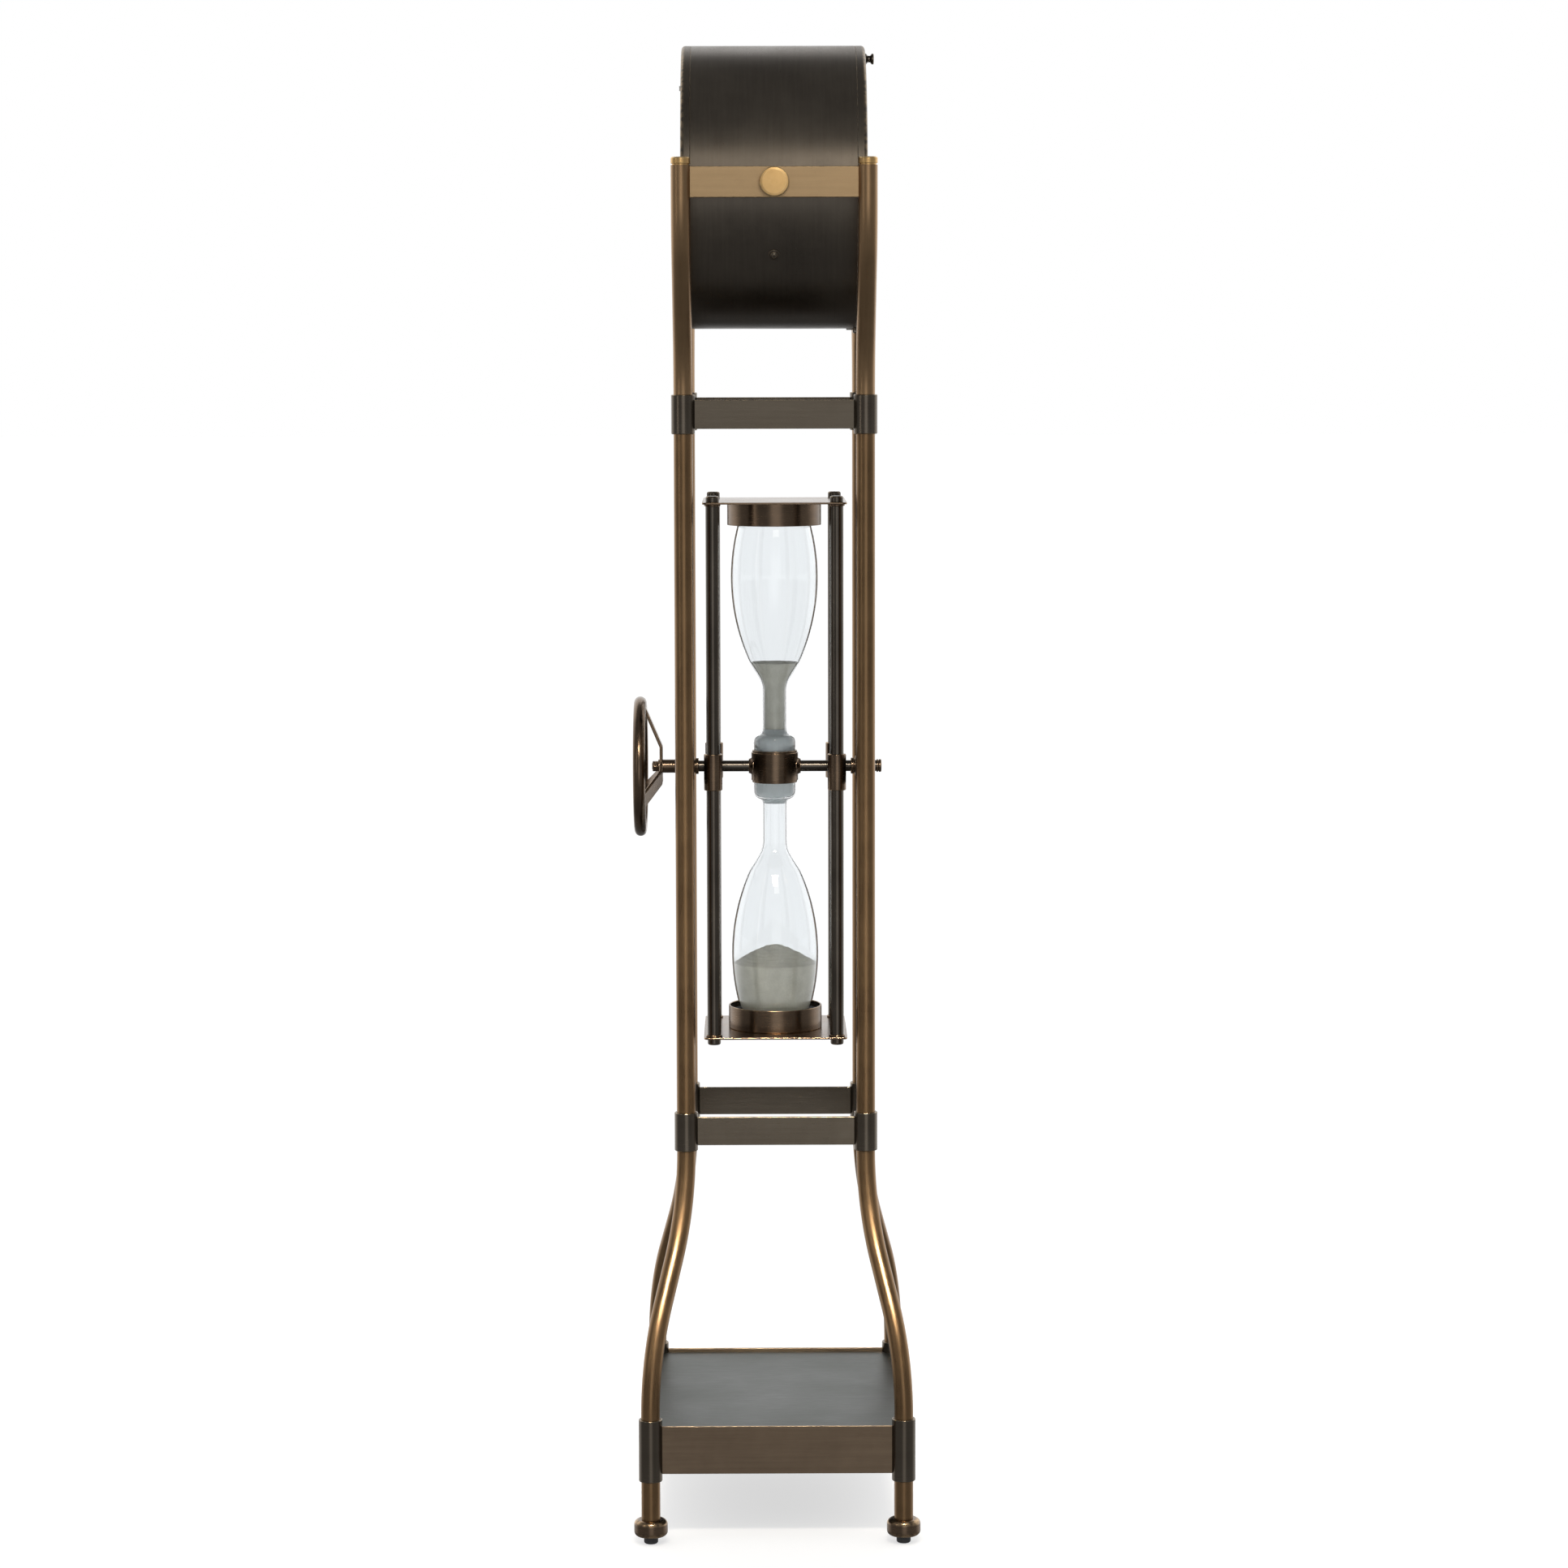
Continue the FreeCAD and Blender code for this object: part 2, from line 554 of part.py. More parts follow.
def group(name, pieces):
    """One node that holds several pieces."""
    whole = DOC.addObject("Part::Compound", name)
    whole.Label = name
    whole.Links = pieces
    return listed(whole)


def copies(name, master, places):
    """One node that holds a copy of the master piece at each (place, turn)."""
    links = []
    for number, (place, turn) in enumerate(places):
        link = DOC.addObject("App::Link", f"{name}_{number}")
        link.setLink(master)
        link.LinkTransform = True
        if turn:
            rotate(link, *turn)
        move_to(link, place)
        links.append(link)
    return group(name, links)


def box_outline(half_wide, half_tall, across=ZERO, up=ZERO):
    """Corners of a rectangle about a middle point."""
    signs = ((-1, -1), (1, -1), (1, 1), (-1, 1))
    return [(across + half_wide * i, up + half_tall * j) for i, j in signs]


def corner_places(half_x, half_y, height, turn=None):
    """The four corners of a rectangle at one height."""
    signs = ((1, -1), (1, 1), (-1, -1), (-1, 1))
    return [((half_x * i, half_y * j, as_size(height)), turn) for i, j in signs]


SIDES = {"left": -1, "right": 1}
ENDS = {"front": 1, "back": -1}
CORNERS = {f"{end}_{side}": (i, j) for end, i in ENDS.items() for side, j in SIDES.items()}


# ---------------------------------------------------------------- stand

def offset_tube(name, place, direction, before, climb, offset, after, lean):
    """A tube that runs straight, bends over by an offset, and runs straight again.

    The two bends have the same radius, and a leaning stretch of the given length is between
    them. The tangent of half their angle is the offset over the climb and the lean together.
    """
    half = offset / (climb + lean)
    sine = half * 2 / (1 + half * half)
    cosine = (1 - half * half) / (1 + half * half)
    radius = (climb - lean * cosine) / (sine * 2)
    first = (radius * (1 - cosine), before + radius * sine)
    second = (first[0] + lean * sine, first[1] + lean * cosine)
    body = new_body(name)
    spine = new_sketch(body, "XZ_Plane")
    path = [
        (ZERO, ZERO),
        (ZERO, before, radius, 1),
        first,
        (*second, radius, -1),
        (offset, before + climb),
        (offset, before + climb + after),
    ]
    draw_path(spine, path, closed=False)
    section = new_sketch(body, "XY_Plane")
    draw_circle(section, 0, 0, S.tube_radius)
    draw_circle(section, 0, 0, S.tube_radius - S.tube_wall)
    pipe = body.newObject("PartDesign::AdditivePipe", f"{name}_pipe")
    pipe.Profile = section
    pipe.Spine = (spine, [f"Edge{number}" for number in range(1, len(path))])
    body.Placement.Rotation = FreeCAD.Rotation(FreeCAD.Vector(0, 0, 1), direction.value)
    bind(body, ".Placement.Rotation.Angle", direction)
    move_to(body, place)
    return body


def legs():
    """Four bent legs in two pairs, from the foot discs up to the middle of the lower collars."""
    foot_top = S.disc_low + S.disc_tall
    step_x = S.foot_half_x - S.post_half_x
    step_y = S.foot_half_y - S.post_half_y
    bend_low = S.base_collar_low + S.base_collar_tall + S.leg_straight
    bend_high = S.lower_joint - S.collar_tall / 2
    for side, j in SIDES.items():
        pair = [
            offset_tube(
                f"leg_{side}_{end}",
                (S.foot_half_x * i, S.foot_half_y * j, foot_top),
                heading(step_x * -i, step_y * -j),
                before=bend_low - foot_top,
                climb=bend_high - bend_low,
                offset=root(step_x * step_x + step_y * step_y),
                after=S.collar_tall / 2,
                lean=S.leg_lean,
            )
            for end, i in ENDS.items()
        ]
        group(f"legs_{side}", pair)


def yoke_tubes():
    """Four tubes in two pairs that spread sideways above the upper collars to clear the drum."""
    bend_low = S.collar_tall / 2
    bend_high = S.drum_axis - S.crossbar_tall / 2 - S.yoke_straight
    for side, j in SIDES.items():
        pair = [
            offset_tube(
                f"yoke_tube_{side}_{end}",
                (S.post_half_x * i, S.post_half_y * j, S.upper_joint),
                as_size(90 * j),
                before=bend_low,
                climb=bend_high - S.upper_joint - bend_low,
                offset=S.yoke_half_y - S.post_half_y,
                after=S.yoke_top - bend_high,
                lean=S.yoke_lean,
            )
            for end, i in ENDS.items()
        ]
        group(f"yoke_tubes_{side}", pair)


def sleeves(name, half_x, half_y, low, tall, outer, inner):
    """Four upright sleeves in one body."""
    body = new_body(name)

    def draw(sketch):
        for i, j in CORNERS.values():
            draw_circle(sketch, half_x * i, half_y * j, outer)
            draw_circle(sketch, half_x * i, half_y * j, inner)

    pad(body, "XY_Plane", draw, tall)
    move_to(body, (ZERO, ZERO, low))
    return body


def posts_and_collars():
    """Straight middle posts, and the collars at the three levels of bars."""
    bore = S.tube_radius + S.fit_gap
    half = S.collar_tall / 2
    middle = (S.post_half_x, S.post_half_y)
    listed(sleeves("middle_posts", *middle, S.lower_joint, S.upper_joint - S.lower_joint,
                   S.tube_radius, S.tube_radius - S.tube_wall))
    group("post_collars", [
        sleeves(f"collars_{level}", *middle, height - half, S.collar_tall, S.collar_radius, bore)
        for level, height in (("lower", S.lower_joint), ("upper", S.upper_joint))
    ])
    listed(sleeves("base_collars", S.foot_half_x, S.foot_half_y, S.base_collar_low,
                   S.base_collar_tall, S.collar_radius, bore))


def bar_outline(half_span, thick, post_radius, shift, lengthways):
    """Plan of a flat bar whose ends are hollowed to fit two round posts."""
    reach = half_span - sag(post_radius, thick / 2)
    along = [(-reach, -1), (reach, -1), (reach, 1), (-reach, 1)]
    points = []
    for number, (position, side) in enumerate(along):
        point = (position, shift + thick / 2 * side)
        curve = (post_radius, 1) if number in (1, 3) else ()
        points.append((*point, *curve) if lengthways else (point[1], point[0], *flipped(curve)))
    return points


def flipped(curve):
    """The same arc, bulging to the other side."""
    return (curve[0], -curve[1]) if curve else ()


def bar_frame(name, half_x, half_y, low, tall, thick, post_radius):
    """Four flat bars that join four posts, in one body."""
    body = new_body(name)

    def draw(sketch):
        for side in (-1, 1):
            draw_path(sketch, bar_outline(half_x, thick, post_radius, half_y * side, True))
            draw_path(sketch, bar_outline(half_y, thick, post_radius, half_x * side, False))

    pad(body, "XY_Plane", draw, tall)
    move_to(body, (ZERO, ZERO, low))
    return body


def bars():
    """The two bar frames of the middle, and the aprons of the base."""
    edge = S.collar_radius + S.fit_gap
    middle = (S.post_half_x, S.post_half_y)
    group("frame_bars", [
        bar_frame(f"bars_{level}", *middle, height - S.bar_tall / 2, S.bar_tall, S.bar_thick, edge)
        for level, height in (("lower", S.lower_joint), ("upper", S.upper_joint))
    ])
    listed(bar_frame("base_aprons", S.foot_half_x, S.foot_half_y, S.apron_low, S.apron_tall,
                     S.apron_thick, edge))


def shelf():
    """Sheet between the aprons, cut out around the base collars."""
    body = new_body("shelf")
    half_x = S.foot_half_x - S.apron_thick / 2 - S.fit_gap
    half_y = S.foot_half_y - S.apron_thick / 2 - S.fit_gap
    pad(body, "XY_Plane", lambda sketch: draw_path(sketch, box_outline(half_x, half_y)), S.shelf_thick)

    def draw(sketch):
        for i, j in CORNERS.values():
            draw_circle(sketch, S.foot_half_x * i, S.foot_half_y * j, S.collar_radius + S.face_gap)

    drill(body, "XY_Plane", draw)
    top = S.apron_low + S.apron_tall - S.shelf_drop
    node(body, (ZERO, ZERO, top - S.shelf_thick))


def feet():
    """Foot discs plugged into the legs, and the levelling glides screwed into them."""
    disc = new_body("foot_disc_master")
    bore = S.glide_stud_radius + S.fit_gap
    plug = S.tube_radius - S.tube_wall - S.fit_gap
    revolve(disc, [
        (bore, ZERO),
        (S.disc_radius - S.disc_round, ZERO, S.disc_round, -1),
        (S.disc_radius, S.disc_round),
        (S.disc_radius, S.disc_tall - S.disc_round, S.disc_round, -1),
        (S.disc_radius - S.disc_round, S.disc_tall),
        (plug, S.disc_tall),
        (plug, S.disc_tall + S.disc_plug_long),
        (bore, S.disc_tall + S.disc_plug_long),
    ])
    copies("foot_discs", disc, corner_places(S.foot_half_x, S.foot_half_y, S.disc_low))
    for corner, (i, j) in CORNERS.items():
        glide = new_body(f"glide_{corner}")
        revolve(glide, [
            (ZERO, ZERO),
            (S.glide_radius - S.glide_bevel, ZERO),
            (S.glide_radius, S.glide_bevel),
            (S.glide_radius, S.glide_tall),
            (S.glide_stud_radius, S.glide_tall),
            (S.glide_stud_radius, S.glide_tall + S.glide_stud_long),
            (ZERO, S.glide_tall + S.glide_stud_long),
        ])
        node(glide, (S.foot_half_x * i, S.foot_half_y * j, ZERO))


def post_caps():
    """Caps with a shadow groove, plugged into the tops of the yoke tubes."""
    cap = new_body("post_cap_master")
    plug = S.tube_radius - S.tube_wall - S.fit_gap
    top = S.cap_groove + S.cap_tall
    revolve(cap, [
        (ZERO, -S.cap_plug_long),
        (plug, -S.cap_plug_long),
        (plug, S.cap_groove),
        (S.tube_radius, S.cap_groove),
        (S.tube_radius, top - S.cap_round, S.cap_round, -1),
        (S.tube_radius - S.cap_round, top),
        (ZERO, top),
    ])
    copies("post_caps", cap, corner_places(S.post_half_x, S.yoke_half_y, S.yoke_top))


def crossbars():
    """The two bars between the yoke tubes that carry the drum's pivots."""
    bar = new_body("crossbar_master")
    outline = bar_outline(S.post_half_x, S.crossbar_thick, S.tube_radius + S.fit_gap, ZERO, True)
    pad(bar, "XY_Plane", lambda sketch: draw_path(sketch, outline), S.crossbar_tall, middle=True)
    drill(bar, "XZ_Plane", lambda sketch: draw_circle(sketch, 0, 0, S.pivot_radius + S.fit_gap))
    copies("crossbars", bar, [((ZERO, S.yoke_half_y * j, S.drum_axis), None) for j in SIDES.values()])


def axle_bars():
    """The two bars between the middle posts that carry the axle's bushes."""
    bar = new_body("axle_bar_master")
    edge = S.tube_radius + S.fit_gap
    outline = bar_outline(S.post_half_y, S.axle_bar_thick, edge, ZERO, False)
    pad(bar, "XY_Plane", lambda sketch: draw_path(sketch, outline), S.axle_bar_tall, middle=True)
    pad(bar, "YZ_Plane", lambda sketch: draw_circle(sketch, 0, 0, S.axle_boss_radius),
        S.axle_boss_long, middle=True)
    drill(bar, "YZ_Plane", lambda sketch: draw_circle(sketch, 0, 0, S.bush_radius + S.fit_gap))
    copies("axle_bars", bar, [((S.post_half_x * side, ZERO, S.axle_height), None) for side in (-1, 1)])
    bush = new_body("axle_bush_master")
    bore = S.axle_radius + S.fit_gap
    revolve(bush, [
        (bore, S.bush_inner_end),
        (S.bush_flange_radius, S.bush_inner_end),
        (S.bush_flange_radius, S.bush_inner_end + S.bush_flange_thick),
        (S.bush_radius, S.bush_inner_end + S.bush_flange_thick),
        (S.bush_radius, S.bush_outer_end),
        (bore, S.bush_outer_end),
    ])
    middle = (ZERO, ZERO, S.axle_height)
    copies("axle_bushes", bush, [(middle, TO_FRONT), (middle, TO_BACK)])


# ---------------------------------------------------------------- drum clock
# Turned pieces of the drum are drawn with Z along the drum's axis, then turned so that Z is +X.

DRUM = (ZERO, ZERO, S.drum_axis)
RING_BACK = S.drum_half + S.face_gap
RING_FRONT = RING_BACK + S.ring_wide
COVER_BACK = RING_BACK - S.seat_gap
COVER_FRONT = COVER_BACK - S.cover_thick


def channel_section(inner):
    """Hollow pressed into the inside of a bezel ring, from an inner radius out to its rim."""
    outer = S.drum_radius - S.ring_side
    floor = RING_FRONT - S.ring_wall
    return [(inner, RING_BACK - BEYOND), (outer, RING_BACK - BEYOND), (outer, floor), (inner, floor)]


def back_screw_reach():
    """Place of a back screw along each of the drum's two cross axes."""
    return (S.back_bore + S.drum_radius) / 2 * math.sqrt(0.5)


def back_screw_holes(sketch):
    """Four circles where the back screws go."""
    reach = back_screw_reach()
    for i, j in CORNERS.values():
        draw_circle(sketch, reach * i, reach * j, S.back_screw_radius + S.hole_gap)


def drum_shell():
    """Rolled skin with a seat flange for the dial and one for the back cover."""
    body = new_body("drum_shell")
    inner = S.drum_radius - S.drum_wall
    back_seat = -COVER_FRONT + S.seat_gap
    revolve(body, [
        (S.drum_radius, -S.drum_half),
        (S.drum_radius, S.drum_half),
        (inner, S.drum_half),
        (inner, S.dial_plane),
        (S.seat_bore, S.dial_plane),
        (S.seat_bore, S.dial_plane - S.seat_thick),
        (inner, S.dial_plane - S.seat_thick),
        (inner, back_seat + S.seat_thick),
        (S.back_seat_bore, back_seat + S.seat_thick),
        (S.back_seat_bore, back_seat),
        (inner, back_seat),
        (inner, -S.drum_half),
    ])
    drill(body, "XZ_Plane", lambda sketch: draw_circle(sketch, 0, 0, S.pivot_radius + S.fit_gap))
    drill_one_way(body, "XY_Plane", back_screw_holes, S.drum_half + BEYOND)
    screw_hole = S.case_screw_shank + S.hole_gap
    for side in (-1, 1):
        drill_one_way(body, "XZ_Plane", lambda sketch: draw_circle(sketch, 0, 0, screw_hole),
                      S.drum_radius + BEYOND, flip=side < 0, lean=-side * case_screw_lean())
    node(body, DRUM, TO_FRONT)


def drum_back():
    """Back ring, the cover it clamps, and its four screws."""
    ring = new_body("back_ring")
    outer = S.drum_radius
    lip = outer - S.drum_wall - S.fit_gap
    revolve(ring, [
        (S.back_bore, RING_BACK),
        (lip - S.lip_thick, RING_BACK),
        (lip - S.lip_thick, RING_BACK - S.lip_long),
        (lip, RING_BACK - S.lip_long),
        (lip, RING_BACK),
        (outer, RING_BACK),
        (outer, RING_FRONT - S.ring_round, S.ring_round, -1),
        (outer - S.ring_round, RING_FRONT),
        (S.back_bore, RING_FRONT),
    ])
    hollow(ring, channel_section(S.back_bore + S.drum_wall))
    drill(ring, "XY_Plane", back_screw_holes)
    node(ring, DRUM, TO_BACK)
    cover = new_body("back_cover")
    cover_radius = lip - S.lip_thick - S.face_gap
    pad(cover, "XY_Plane", lambda sketch: draw_circle(sketch, 0, 0, cover_radius), S.cover_thick)
    drill(cover, "XY_Plane", back_screw_holes)
    node(cover, (-COVER_BACK, ZERO, S.drum_axis), TO_FRONT)
    screw = new_body("back_screw_master")
    under_head = RING_FRONT + S.seat_gap
    curve = dome_curve(S.back_screw_head, S.back_screw_dome)
    revolve(screw, [
        (ZERO, under_head - S.back_screw_long),
        (S.back_screw_radius, under_head - S.back_screw_long),
        (S.back_screw_radius, under_head),
        (S.back_screw_head, under_head),
        (S.back_screw_head, under_head + S.back_screw_rim, curve, -1),
        (ZERO, under_head + S.back_screw_rim + S.back_screw_dome),
    ])
    reach = back_screw_reach()
    places = [((ZERO, reach * i, S.drum_axis + reach * j), TO_BACK) for i, j in CORNERS.values()]
    copies("back_screws", screw, places)


def door():
    """Glazed bezel ring with its knob, and the hinge under it."""
    ring = new_body("door_ring")
    outer = S.drum_radius
    rebate = RING_BACK + S.glass_set + S.glass_thick + S.fit_gap
    seat = S.ring_bore + S.glass_lap + S.glass_gap
    revolve(ring, [
        (seat, RING_BACK),
        (outer, RING_BACK),
        (outer, RING_FRONT - S.ring_round, S.ring_round, -1),
        (outer - S.ring_round, RING_FRONT),
        (S.ring_bore + S.ring_bevel, RING_FRONT),
        (S.ring_bore, RING_FRONT - S.ring_bevel),
        (S.ring_bore, rebate),
        (seat, rebate),
    ])
    hollow(ring, channel_section(seat + S.drum_wall))
    drill(ring, "XY_Plane", lambda sketch: draw_circle(sketch, -S.knob_offset, 0, S.knob_stud + S.fit_gap))
    node(ring, DRUM, TO_FRONT)
    glass = new_body("door_glass")
    pad(glass, "XY_Plane", lambda sketch: draw_circle(sketch, 0, 0, S.ring_bore + S.glass_lap), S.glass_thick)
    node(glass, (RING_BACK + S.glass_set, ZERO, S.drum_axis), TO_FRONT)
    knob = new_body("door_knob")
    revolve(knob, [
        (ZERO, -S.knob_stud_long),
        (S.knob_stud, -S.knob_stud_long),
        (S.knob_stud, S.seat_gap),
        (S.knob_radius, S.seat_gap),
        (S.knob_radius, S.knob_flange),
        (S.knob_waist, S.knob_flange + S.knob_taper),
        (S.knob_waist, S.knob_long - S.knob_flange - S.knob_taper),
        (S.knob_radius, S.knob_long - S.knob_flange),
        (S.knob_radius, S.knob_long - S.knob_round, S.knob_round, -1),
        (S.knob_radius - S.knob_round, S.knob_long),
        (ZERO, S.knob_long),
    ])
    node(knob, (RING_FRONT, ZERO, S.drum_axis + S.knob_offset), TO_FRONT)
    door_hinge()


def hinge_knuckle(name, spans, leaf_side):
    """Knuckles on the hinge pin with a flat leaf to one side, seen along the pin."""
    body = new_body(name)
    bore = S.hinge_pin_radius + S.fit_gap
    leaf_end = S.hinge_leaf_long * leaf_side
    leaf_start = S.hinge_leaf_start * leaf_side
    top = S.hinge_radius + S.hinge_drop - S.hinge_leaf_gap
    for low, high in spans:
        sketch = new_sketch(body, "XZ_Plane")
        bind(sketch, ".AttachmentOffset.Base.z", -high)
        draw_circle(sketch, 0, 0, S.hinge_radius)
        feature = body.newObject("PartDesign::Pad", f"{name}_knuckle")
        feature.Profile = sketch
        bind(feature, "Length", high - low)
        sketch = new_sketch(body, "XZ_Plane")
        bind(sketch, ".AttachmentOffset.Base.z", -high)
        draw_path(sketch, [
            (leaf_start, top - S.hinge_leaf),
            (leaf_end, top - S.hinge_leaf),
            (leaf_end, top),
            (leaf_start, top),
        ])
        feature = body.newObject("PartDesign::Pad", f"{name}_leaf")
        feature.Profile = sketch
        bind(feature, "Length", high - low)
    drill(body, "XZ_Plane", lambda sketch: draw_circle(sketch, 0, 0, bore))
    return body


HINGE = (RING_BACK - S.face_gap / 2, ZERO, S.drum_axis - S.drum_radius - S.hinge_radius - S.hinge_drop)


def door_hinge():
    """Fixed knuckle under the drum, two knuckles under the door, and their pin."""
    fixed = hinge_knuckle("hinge_fixed_leaf", [(-S.hinge_middle, S.hinge_middle)], -1)
    node(fixed, HINGE)
    inner = S.hinge_middle + S.face_gap
    moving = hinge_knuckle("hinge_door_leaf", [(inner, S.hinge_half), (-S.hinge_half, -inner)], 1)
    node(moving, HINGE)
    pin = new_body("hinge_pin")
    pad(pin, "XZ_Plane", lambda sketch: draw_circle(sketch, 0, 0, S.hinge_pin_radius),
        (S.hinge_half + S.hinge_pin_over) * 2, middle=True)
    node(pin, HINGE)


def dial_and_movement():
    """Dial, movement with its battery, hands and setting knob."""
    dial = new_body("dial")

    def dial_plan(sketch):
        draw_circle(sketch, 0, 0, S.drum_radius - S.drum_wall - S.face_gap)
        draw_circle(sketch, 0, 0, S.arbor_bush_radius + S.fit_gap)

    pad(dial, "XY_Plane", dial_plan, S.dial_thick)
    node(dial, (S.dial_plane + S.seat_gap, ZERO, S.drum_axis), TO_FRONT)

    movement = new_body("clock_movement")
    half = S.movement_wide / 2
    pad(movement, "XY_Plane", lambda sketch: draw_path(sketch, box_outline(half, half)),
        S.movement_deep, flip=True)
    pad(movement, "XY_Plane", lambda sketch: draw_circle(sketch, 0, 0, S.arbor_bush_radius),
        S.dial_thick + S.arbor_bush_long)
    bay_half = S.battery_radius + S.battery_gap
    bay_up = -half + bay_half + S.movement_wall

    def bay_plan(sketch):
        draw_path(sketch, box_outline(bay_half, S.battery_long / 2 + S.battery_end_gap, -bay_up, ZERO))

    back_face = new_sketch(movement, "XY_Plane")
    bind(back_face, ".AttachmentOffset.Base.z", -S.movement_deep)
    bay_plan(back_face)
    bay = movement.newObject("PartDesign::Pocket", "clock_movement_bay")
    bay.Profile = back_face
    bay.Reversed = True
    bind(bay, "Length", S.battery_radius * 2 + S.battery_gap)
    tube_bore = S.hour_tube_radius + S.arbor_gap
    drill(movement, "XY_Plane", lambda sketch: draw_circle(sketch, 0, 0, tube_bore))
    setting_bore = S.minute_arbor_radius + S.fit_gap
    drill(movement, "XY_Plane", lambda sketch: draw_circle(sketch, -half / 2, half / 2, setting_bore))
    node(movement, (S.dial_plane, ZERO, S.drum_axis), TO_FRONT)

    battery = new_body("battery")
    pad(battery, "XZ_Plane", lambda sketch: draw_circle(sketch, 0, 0, S.battery_radius),
        S.battery_long, middle=True)
    deep = S.dial_plane - S.movement_deep + S.battery_radius + S.battery_gap / 2
    node(battery, (deep, ZERO, S.drum_axis + bay_up))

    knob = new_body("setting_knob")
    knob_front = -S.movement_deep - S.setting_knob_gap
    revolve(knob, [
        (ZERO, knob_front - S.setting_knob_tall),
        (S.setting_knob_radius, knob_front - S.setting_knob_tall),
        (S.setting_knob_radius, knob_front),
        (S.minute_arbor_radius, knob_front),
        (S.minute_arbor_radius, -S.setting_arbor_end),
        (ZERO, -S.setting_arbor_end),
    ])
    node(knob, (S.dial_plane, half / 2, S.drum_axis + half / 2), TO_FRONT)
    face = S.dial_plane + S.dial_thick
    hand("hour_hand", S.hour_hand_long, face + S.hour_hand_rise, S.hour_hub_radius, S.hour_tube_radius,
         S.minute_arbor_radius + S.arbor_gap)
    hand("minute_hand", S.minute_hand_long, face + S.minute_hand_rise, S.minute_hub_radius,
         S.minute_arbor_radius, None)


HAND_ANGLES = {"hour_hand": 304.0, "minute_hand": 50.0}
NECK = 0.3          # half width of a hand's necks, as a share of its widest half
TAIL = 0.35         # half width of its tail, as the same share
WIDEST = 0.45       # place of its widest part, as a share of its length
TIP_NECK = 0.8      # place where its tip starts, as a share of its length
TAIL_START = 2.6    # widest part of its tail, in hub radii
TAIL_END = 3.0      # end of its tail, in hub radii


def hand(name, length, plane, hub, arbor, bore):
    """A leaf-shaped hand on its own arbor, pointing up before it is set to its time."""
    body = new_body(name)
    half = S.hand_wide / 2

    def leaf(sketch):
        draw_path(sketch, [
            (ZERO, -hub * TAIL_END),
            (half * TAIL, -hub * TAIL_START),
            (half * NECK, ZERO),
            (half, length * WIDEST),
            (half * NECK, length * TIP_NECK),
            (ZERO, length),
            (-half * NECK, length * TIP_NECK),
            (-half, length * WIDEST),
            (-half * NECK, ZERO),
            (-half * TAIL, -hub * TAIL_START),
        ])

    pad(body, "XY_Plane", leaf, S.hand_thick)
    pad(body, "XY_Plane", lambda sketch: draw_circle(sketch, 0, 0, hub), S.hand_thick)
    pad(body, "XY_Plane", lambda sketch: draw_circle(sketch, 0, 0, arbor), S.dial_thick + S.arbor_long,
        flip=True)
    if bore:
        drill(body, "XY_Plane", lambda sketch: draw_circle(sketch, 0, 0, bore))
    face = FreeCAD.Rotation(FreeCAD.Vector(0, 1, 0), FreeCAD.Vector(0, 0, 1), FreeCAD.Vector(1, 0, 0), "ZXY")
    clock = FreeCAD.Rotation(FreeCAD.Vector(0, 0, 1), -HAND_ANGLES[name])
    body.Placement.Rotation = face * clock
    return node(body, (plane, ZERO, S.drum_axis))


def drum_pivots():
    """Pivot screws, their spacers and the two clamping knobs, and the drum's side screws."""
    stud = new_body("pivot_screw_master")
    inside = S.drum_radius - S.drum_wall - S.pivot_head_gap
    outside = S.drum_radius + S.seat_gap
    bar_inner = S.yoke_half_y - S.crossbar_thick / 2
    bar_outer = S.yoke_half_y + S.crossbar_thick / 2
    start = bar_outer + S.face_gap
    rim = start + S.pivot_stem_long
    knob_end = rim + S.pivot_knob_thick
    stud_end = knob_end - S.pivot_knob_floor
    revolve(stud, [
        (ZERO, inside - S.pivot_head_thick),
        (S.pivot_head_radius, inside - S.pivot_head_thick),
        (S.pivot_head_radius, inside),
        (S.pivot_radius, inside),
        (S.pivot_radius, outside),
        (S.pivot_spacer_radius, outside),
        (S.pivot_spacer_radius, bar_inner - S.face_gap),
        (S.pivot_radius, bar_inner - S.face_gap),
        (S.pivot_radius, stud_end),
        (ZERO, stud_end),
    ])
    copies("pivot_screws", stud, [(DRUM, TO_LEFT), (DRUM, TO_RIGHT)])
    bore = S.pivot_radius + S.fit_gap
    edge = S.pivot_knob_round
    for name, turn in (("pivot_knob_left", TO_LEFT), ("pivot_knob_right", TO_RIGHT)):
        knob = new_body(name)
        revolve(knob, [
            (bore, start),
            (S.pivot_knob_stem, start),
            (S.pivot_knob_stem, rim),
            (S.pivot_knob_radius - edge, rim, edge, -1),
            (S.pivot_knob_radius, rim + edge),
            (S.pivot_knob_radius, knob_end - edge, edge, -1),
            (S.pivot_knob_radius - edge, knob_end),
            (ZERO, knob_end),
            (ZERO, stud_end + S.face_gap),
            (bore, stud_end + S.face_gap),
        ])
        node(knob, DRUM, turn)


def case_screw_lean():
    """Angle in degrees of the side screws below the level of the drum's axis."""
    return math.degrees(math.asin(S.case_screw_drop.value / S.drum_radius.value))


